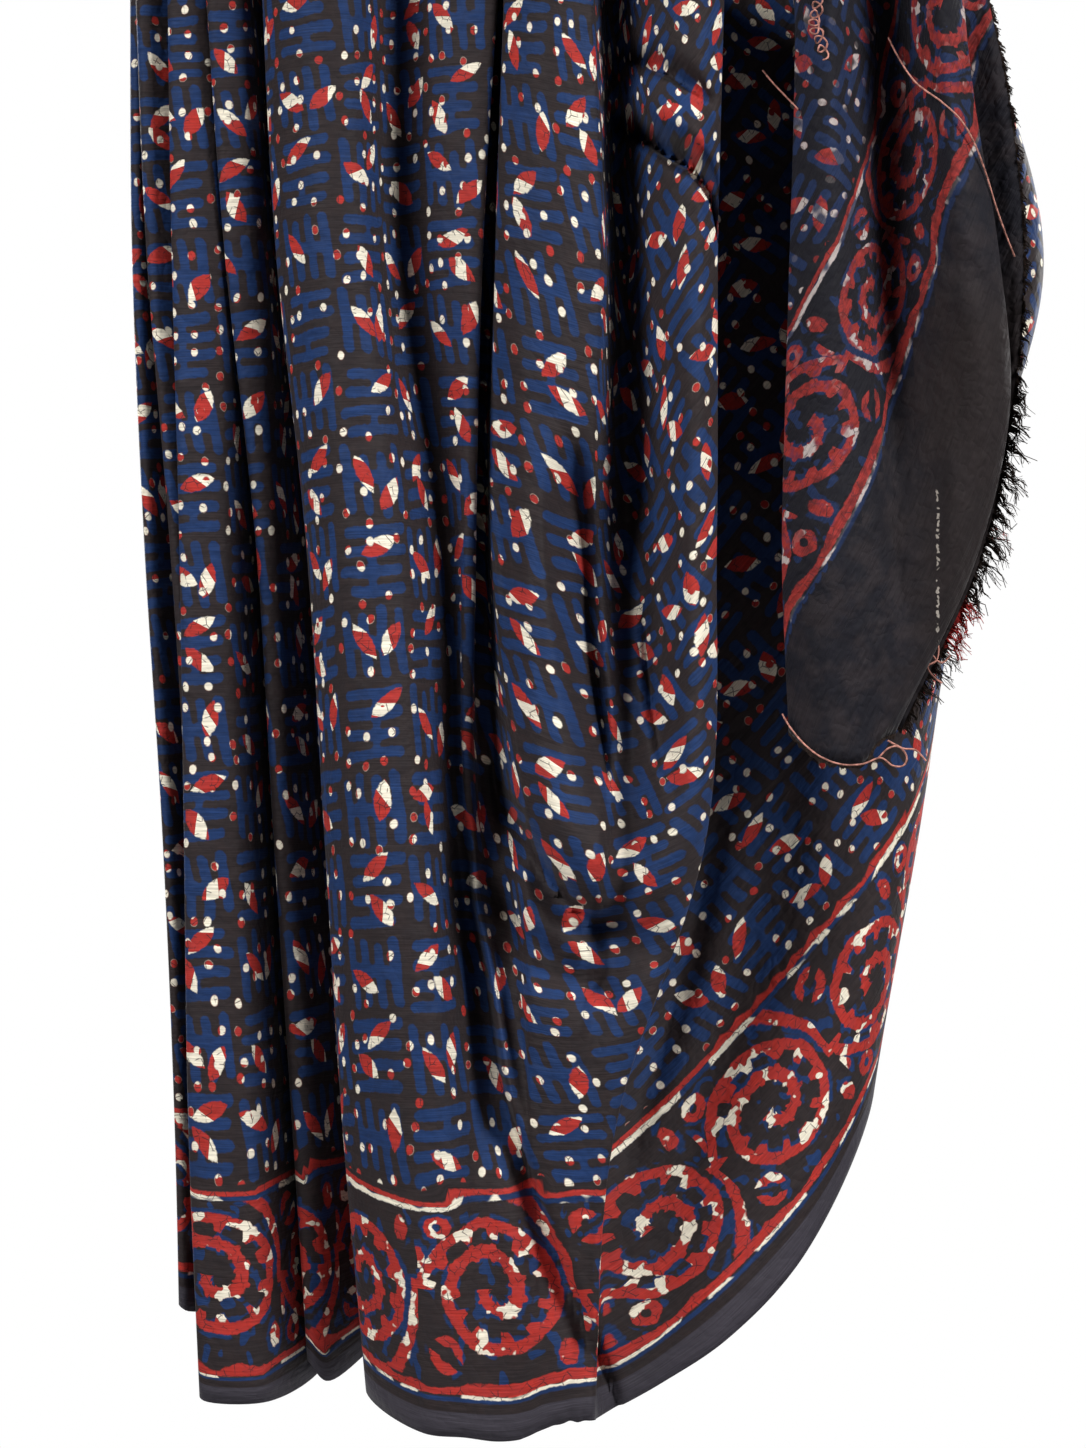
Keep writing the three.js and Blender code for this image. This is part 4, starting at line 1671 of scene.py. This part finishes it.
@dataclass
class FrayedEnd:
    """The loose threads of the raw end."""

    # How long the threads are at each height, as (z, length).
    reach: tuple[Pair, ...] = (
        (-30, 3.0), (-100, 4.0), (-165, 4.5), (-230, 5.0), (-280, 6.0), (-300, 12.0), (-330, 14.0),
        (-400, 14.0), (-440, 12.0), (-485, 9.0), (-510, 6.0),
    )
    # Where the threads come from the red print, as (z, share).
    red: tuple[Pair, ...] = (
        (-360, 0.0), (-370, 0.5), (-380, 0.5), (-390, 0.0), (-415, 0.1), (-425, 0.9), (-452, 0.9),
        (-460, 0.0),
    )
    hem_reach: float = 2.2  # How long the threads are along the bottom.
    threads: int = 1300  # How many grow along the raw edge and the bottom.
    radius: float = 0.42  # The radius of one thread.
    droop: float = 0.65  # How far a thread sinks, as a share of its length.
    curl: float = 1.3  # How far it wanders, as a share of its length.
    tangle: Tangle = Tangle()  # The tangled thread near the top.
    seed: int = 11
    brown: Colour = (0.021, 0.013, 0.010, 1)  # The colour of a plain thread.
    madder: Colour = (0.30, 0.022, 0.020, 1)  # The colour of a thread from the red print.
    faded: Colour = (0.42, 0.19, 0.15, 1)  # The colour of a pulled thread.

    def wire(self, edge: Array, hem: Array) -> Mesh:
        """Makes the wires that the threads grow on.

        Args:
            edge: The raw edge and, beside it, the line one step inside it.
            hem: The same for the bottom of the loose end.

        Returns:
            A mesh of edges with the attributes that the node group reads.
        """
        points, links, outward, reach, red, pulled = [], [], [], [], [], []
        heights, lengths = np.array(self.reach[::-1]).T
        red_heights, shares = np.array(self.red[::-1]).T
        z = edge[:, 0, 2]
        none = np.zeros(len(hem))
        wires = [
            (edge[:, 0], edge[:, 1], np.interp(z, heights, lengths), np.interp(z, red_heights, shares), 0.0),
            (hem[:, 0], hem[:, 1], none + self.hem_reach, none, 0.0),
        ]
        for thread in (*PULLED_THREADS, self.tangle.thread()):
            route = np.array(thread.route, float)
            none = np.zeros(len(route))
            wires.append((route, route + (0.0, 1.0, 0.0), none, none, 1.0))
        for line, inside, line_reach, line_red, is_pulled in wires:
            links += [(k, k + 1) for k in range(len(points), len(points) + len(line) - 1)]
            points += list(line)
            outward += list(unit(line - inside))
            reach += list(line_reach)
            red += list(line_red)
            pulled += [is_pulled] * len(line)
        mesh = bpy.data.meshes.new("frayed_wire")
        mesh.from_pydata((np.array(points) * MM).tolist(), links, [])
        way = mesh.attributes.new("outward", "FLOAT_VECTOR", "POINT")
        way.data.foreach_set("vector", np.array(outward, np.float32).ravel())
        for name, values in (("reach", np.array(reach) * MM), ("red", red), ("pulled", pulled)):
            kept = mesh.attributes.new(name, "FLOAT", "POINT")
            kept.data.foreach_set("value", np.array(values, np.float32))
        return mesh

    def grow(self, edge: Array, hem: Array) -> Object:
        """Grows the threads.

        Args:
            edge: The raw edge and, beside it, the line one step inside it.
            hem: The same for the bottom of the loose end.

        Returns:
            The threads as one object.
        """
        wire = new_object("frayed_wire", self.wire(edge, hem))
        group = fray_group()
        modifier = wire.modifiers.new("threads", "NODES")
        modifier.node_group = group
        values = {
            "Threads": self.threads,
            "Thread Radius": self.radius * MM,
            "Droop": self.droop,
            "Curl": self.curl,
            "Seed": self.seed,
            "Thread Material": thread_material("frayed_thread", self.brown, self.madder),
            "Pulled Material": thread_material("pulled_thread", self.faded, self.faded),
        }
        for item in group.interface.items_tree:
            if item.in_out == "INPUT" and item.name in values:
                modifier[item.identifier] = values[item.name]
        bpy.context.view_layer.update()
        ready = wire.evaluated_get(bpy.context.evaluated_depsgraph_get())
        mesh = bpy.data.meshes.new_from_object(ready)
        mesh.name = "frayed_edge"
        bpy.data.objects.remove(wire)
        return new_object("frayed_edge", mesh)


@dataclass
class ShapeGroup(NodeGroup):
    """A Geometry Nodes group under construction, with named inputs and outputs."""

    family: str = "GeometryNodeTree"

    def add(
        self, kind: str, output: str, settings: dict[str, str] | None = None, **values: Term | float | str
    ) -> Term:
        """Adds a node.

        Args:
            kind: The node's type.
            output: The name of the output that is wanted.
            settings: Its settings.
            **values: Its inputs by name, with _ for a space.

        Returns:
            That output.
        """
        node = self.tree.nodes.new(kind)
        for name, value in (settings or {}).items():
            setattr(node, name, value)
        for name, value in values.items():
            plug(next(s for s in node.inputs if s.name == name.replace("_", " ") and s.enabled), value)
        return Term(next(s for s in node.outputs if s.name == output and s.enabled))

    def attribute(self, name: str, kind: str = "FLOAT") -> Term:
        """Reads a named attribute."""
        return self.add("GeometryNodeInputNamedAttribute", "Attribute", {"data_type": kind}, Name=name)

    def draw(self, low: float, high: float, step: int) -> Term:
        """Draws a chance for each point."""
        return self.add("FunctionNodeRandomValue", "Value", Min=low, Max=high, Seed=self.read("Seed") + step)

    def kept(self, shape: Term, name: str, value: Term) -> Term:
        """Returns a shape on which a value is kept under that name."""
        return self.add("GeometryNodeStoreNamedAttribute", "Geometry", Geometry=shape, Name=name, Value=value)

    def moved(self, shape: Term, offset: Term) -> Term:
        """Returns a shape whose points are moved."""
        return self.add("GeometryNodeSetPosition", "Geometry", Geometry=shape, Offset=offset)

    def drift(self, scale: float) -> tuple[Term, Term, Term]:
        """Returns three soft noises over the points."""
        return split(self.add("ShaderNodeTexNoise", "Color", Scale=scale, Detail=1.0))

    def round_thread(self, path: Term, sides: int, thickness: Term | float, material: str) -> Term:
        """Makes threads along paths.

        Args:
            path: The paths.
            sides: The number of sides of a thread.
            thickness: How thick it is, in thread radii.
            material: The input that gives its material.

        Returns:
            The threads.
        """
        radius = self.read("Thread Radius")
        profile = self.add("GeometryNodeCurvePrimitiveCircle", "Curve", Resolution=sides, Radius=radius)
        shape = {"Curve": path, "Profile_Curve": profile, "Scale": thickness}
        made = self.add("GeometryNodeCurveToMesh", "Mesh", Fill_Caps=True, **shape)
        made = self.add("GeometryNodeRealizeInstances", "Geometry", Geometry=made)
        return self.add("GeometryNodeSetMaterial", "Geometry", Geometry=made, Material=self.read(material))


def fray_group() -> NodeTree:
    """Makes the Geometry Nodes group that grows threads on a wire.

    Returns:
        A group that grows short threads along the wire's "outward" directions, as long as its "reach", and
        makes each stretch that is marked "pulled" into one long thread.
    """
    made = ShapeGroup(
        "frayed threads",
        {
            "Wire": (SHAPE, None), "Threads": (WHOLE, 600), "Thread Radius": (FLOAT, 0.0002),
            "Droop": (FLOAT, 0.5), "Curl": (FLOAT, 1.0), "Seed": (WHOLE, 0),
            "Thread Material": (MATERIAL, None), "Pulled Material": (MATERIAL, None),
        },
        {"Threads": SHAPE},
    )
    is_pulled = made.attribute("pulled").over(0.5)
    parts = {}
    for name in ("Inverted", "Selection"):
        parts[name] = made.add(
            "GeometryNodeSeparateGeometry", name, Geometry=made.read("Wire"), Selection=is_pulled
        )
    both = made.tree.nodes.new("GeometryNodeJoinGeometry")
    for threads in (short_threads(made, parts["Inverted"]), pulled_threads(made, parts["Selection"])):
        plug(both.inputs[0], threads)
    made.give("Threads", Term(both.outputs[0]))
    return made.tree


def short_threads(made: ShapeGroup, wire: Term) -> Term:
    """Grows short threads in clumps along a wire.

    Args:
        made: The group that it is part of.
        wire: The wire.

    Returns:
        The threads.
    """
    roots = made.add("GeometryNodeMeshToCurve", "Curve", Mesh=wire)
    roots = made.add("GeometryNodeResampleCurve", "Curve", Curve=roots, Count=made.read("Threads"))
    roots = made.kept(roots, "thick", made.draw(0.6, 1.5, 3))
    line = made.add("GeometryNodeCurvePrimitiveLine", "Curve")
    line = made.add("GeometryNodeResampleCurve", "Curve", Curve=line, Count=6)
    line = made.kept(line, "along", made.add("GeometryNodeSplineParameter", "Factor"))
    outward = made.attribute("outward", "FLOAT_VECTOR")
    turn = made.add("FunctionNodeAlignRotationToVector", "Rotation", {"axis": "Z"}, Vector=outward)
    clumps = made.drift(190.0)[0].ramp(0.36, 0.64, 0.45, 1.3)
    grown = made.add(
        "GeometryNodeInstanceOnPoints", "Instances", Points=roots, Instance=line, Rotation=turn,
        Scale=made.attribute("reach") * made.draw(0.5, 1.15, 1) * clumps,
    )
    grown = made.add("GeometryNodeRealizeInstances", "Geometry", Geometry=grown)
    along = made.attribute("along")
    drop = along * along * made.attribute("reach") * made.read("Droop") * -1.0
    grown = made.moved(grown, join(0.0, 0.0, drop, made.tree))
    for scale, share in ((170.0, 1.0), (520.0, 0.5)):
        reach = along * made.attribute("reach") * made.read("Curl") * share
        grown = made.moved(grown, join(*((part - 0.5) * reach for part in made.drift(scale)), made.tree))
    thickness = made.attribute("thick") * (1.0 - along * 0.5)
    return made.round_thread(grown, 3, thickness, "Thread Material")


def pulled_threads(made: ShapeGroup, wire: Term) -> Term:
    """Makes each stretch of wire into one long thread.

    Args:
        made: The group that it is part of.
        wire: The wire.

    Returns:
        The threads.
    """
    path = made.add("GeometryNodeMeshToCurve", "Curve", Mesh=wire)
    path = made.add("GeometryNodeCurveSplineType", "Curve", {"spline_type": "CATMULL_ROM"}, Curve=path)
    path = made.add("GeometryNodeResampleCurve", "Curve", {"mode": "LENGTH"}, Curve=path, Length=0.0018)
    return made.round_thread(path, 5, 1.5, "Pulled Material")


def thread_material(name: str, plain: Colour, red: Colour) -> Material:
    """Makes the material of the loose threads.

    Args:
        name: Its name.
        plain: The colour of a plain thread.
        red: The colour of a thread from the red print.

    Returns:
        The material.
    """
    made, tree, shader = new_material(name)
    place = tree.nodes.new("ShaderNodeTexCoord")
    share = tree.nodes.new("ShaderNodeAttribute")
    share.attribute_name = "red"
    spots = tree.nodes.new("ShaderNodeTexNoise")
    spots.inputs["Scale"].default_value = 260.0
    tree.links.new(place.outputs["Object"], spots.inputs["Vector"])
    spot = Term(spots.outputs["Fac"])
    is_red = (Term(share.outputs["Fac"]) + spot).ramp(1.05, 1.15)
    shade = spot.ramp(0.35, 0.65, 0.6, 1.5)
    colour = blend_colour(1.0, blend_colour(is_red, plain, red), shade, "MULTIPLY")
    plug(shader.inputs["Base Color"], colour)
    plug(shader.inputs["Roughness"], 0.85)
    plug(shader.inputs["Specular IOR Level"], 0.2)
    return made


# ===== The studio =====


@dataclass(frozen=True)
class Lamp:
    """One soft lamp that looks at the middle of the cloth, in metres and watts."""

    name: str
    place: Place  # Where it hangs.
    size: Pair  # Its width and height.
    power: float


LAMPS = (
    Lamp("left", (-1.65, -1.5, 0.8), (1.2, 1.2), 8.8),
    Lamp("right", (1.8, -1.25, 0.8), (0.8, 1.2), 8.8),
    Lamp("back left", (-1.2, 1.3, 0.1), (0.5, 0.5), 2.5),
    Lamp("back right", (1.2, 1.3, 0.1), (0.5, 0.5), 2.5),
)


@dataclass
class Studio:
    """A plain pale floor and backdrop, soft lamps and the camera, in metres."""

    floor: float = -1.25  # Its height.
    half_floor: float = 6.0  # Half the width of the floor, and how far it comes forwards.
    backdrop: float = 3.4  # How far behind the origin the floor starts to turn up into the backdrop.
    curve: float = 0.6  # The radius of that turn.
    curve_steps: int = 12  # The number of flat pieces in it.
    wall: float = 3.0  # The height of the backdrop's top.
    camera_distance: float = 2.6  # How far the camera is in front of the origin.
    camera_height: float = -0.50336
    view_height: float = 0.92672  # The height of what the camera sees at the origin's depth.
    film: Pair = (36.0, 24.0)  # The width and the height of its film, in millimetres.
    aim: Place = (0.0, 0.0, -0.5)  # What the lamps look at.
    lamp_spread: float = 60.0  # How wide their light spreads.
    sky: Colour = (0.95, 0.97, 1.0, 1)  # The colour of the light from all sides.
    sky_strength: float = 0.01  # How strong it is.

    def cove(self) -> None:
        """Makes the floor and the backdrop as one curved sheet."""
        profile = [(-self.half_floor, self.floor), (self.backdrop, self.floor)]
        for step in range(1, self.curve_steps + 1):
            angle = step / self.curve_steps * math.pi / 2
            y = self.backdrop + self.curve * math.sin(angle)
            profile.append((y, self.floor + self.curve * (1 - math.cos(angle))))
        profile.append((self.backdrop + self.curve, self.wall))
        verts = [(side * self.half_floor, y, z) for y, z in profile for side in (-1, 1)]
        faces = [(2 * k, 2 * k + 1, 2 * k + 3, 2 * k + 2) for k in range(len(profile) - 1)]
        mesh = bpy.data.meshes.new("cove")
        mesh.from_pydata(verts, [], faces)
        mesh.polygons.foreach_set("use_smooth", [True] * len(faces))
        made = new_object("cove", mesh)
        made.data.materials.append(self.paper())

    def paper(self) -> Material:
        """Makes the paper of the backdrop, which is white to the camera and pale to the light.

        Returns:
            The material.
        """
        made, tree, shader = new_material("backdrop_paper")
        plug(shader.inputs["Base Color"], (0.70, 0.70, 0.70, 1))
        plug(shader.inputs["Roughness"], 0.9)
        white = tree.nodes.new("ShaderNodeEmission")
        path = tree.nodes.new("ShaderNodeLightPath")
        place = tree.nodes.new("ShaderNodeTexCoord")
        _, depth, _ = split(Term(place.outputs["Object"]))
        camera, glossy, clear = (
            Term(path.outputs[f"Is {kind} Ray"]) for kind in ("Camera", "Glossy", "Transmission")
        )
        share = camera.most(glossy).most(clear) * depth.ramp(0.5, 1.3, 0.72, 1.0)
        mix_shaders(share, shader, white, tree.nodes["Material Output"])
        return made

    def hang(self, lamp: Lamp) -> None:
        """Hangs one soft lamp."""
        data = bpy.data.lights.new(lamp.name, "AREA")
        data.shape = "RECTANGLE"
        data.size, data.size_y = lamp.size
        data.energy = lamp.power
        data.spread = math.radians(self.lamp_spread)
        made = new_object(lamp.name, data)
        made.location = lamp.place
        x, y, z = np.array(self.aim) - np.array(lamp.place)
        made.rotation_euler = (math.atan2(math.hypot(x, y), -z), 0.0, math.atan2(-x, y))

    def camera(self) -> None:
        """Sets the camera level in front of the cloth."""
        data = bpy.data.cameras.new("camera")
        data.sensor_fit = "VERTICAL"
        data.sensor_width, data.sensor_height = self.film
        data.lens = self.film[1] * self.camera_distance / self.view_height
        data.clip_start, data.clip_end = 0.05, 50.0
        made = new_object("camera", data)
        made.location = (0.0, -self.camera_distance, self.camera_height)
        made.rotation_euler = (math.pi / 2, 0.0, 0.0)
        bpy.context.scene.camera = made

    def surroundings(self) -> None:
        """Makes the world, which is white to the camera and gives a weak light from all sides."""
        world = bpy.data.worlds.new("studio")
        bpy.context.scene.world = world
        world.use_nodes = True
        tree = world.node_tree
        light = tree.nodes["Background"]
        plug(light.inputs["Color"], self.sky)
        plug(light.inputs["Strength"], self.sky_strength)
        white = tree.nodes.new("ShaderNodeBackground")
        path = tree.nodes.new("ShaderNodeLightPath")
        mix_shaders(Term(path.outputs["Is Camera Ray"]), light, white, tree.nodes["World Output"])

    def build(self) -> None:
        """Builds the whole studio."""
        bpy.context.scene.view_settings.view_transform = "Standard"
        self.surroundings()
        self.cove()
        for lamp in LAMPS:
            self.hang(lamp)
        self.camera()


def mix_shaders(share: Term, plain: Node, other: Node, end: Node) -> None:
    """Sends a mix of two shaders to the surface, the first where the share is 0."""
    tree = share.tree
    mix = tree.nodes.new("ShaderNodeMixShader")
    tree.links.new(share.socket, mix.inputs[0])
    tree.links.new(plain.outputs[0], mix.inputs[1])
    tree.links.new(other.outputs[0], mix.inputs[2])
    tree.links.new(mix.outputs[0], end.inputs["Surface"])


def node_groups(border: ScrollBorder) -> dict[str, NodeTree]:
    """Returns every shader node group that the cloth's finishes share, by name."""
    return {
        "field": BlockPrint().group(),
        "border": border.group(),
        "lines": border.lines(),
        "dyes": dye_group(),
        "weave": weave_group(),
    }


def main() -> None:
    """Builds the cloth, its threads and the studio."""
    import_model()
    Studio().build()
    border = ScrollBorder()
    cloth_maker = HangingCloth(border)
    cloth = cloth_maker.build()
    cloth_maker.dress(cloth, node_groups(border))
    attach(cloth, "root")
    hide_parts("cloth")
    threads = FrayedEnd().grow(cloth_maker.raw_edge, cloth_maker.loose_hem)
    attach(threads, "root")
    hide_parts("frayed_edge")
    for made in (cloth, threads):
        LOG.info("%s: %d patches", made.name, len(made.data.polygons))


if __name__ == "__main__":
    logging.basicConfig(level=logging.INFO, format="%(name)s: %(message)s")
    main()
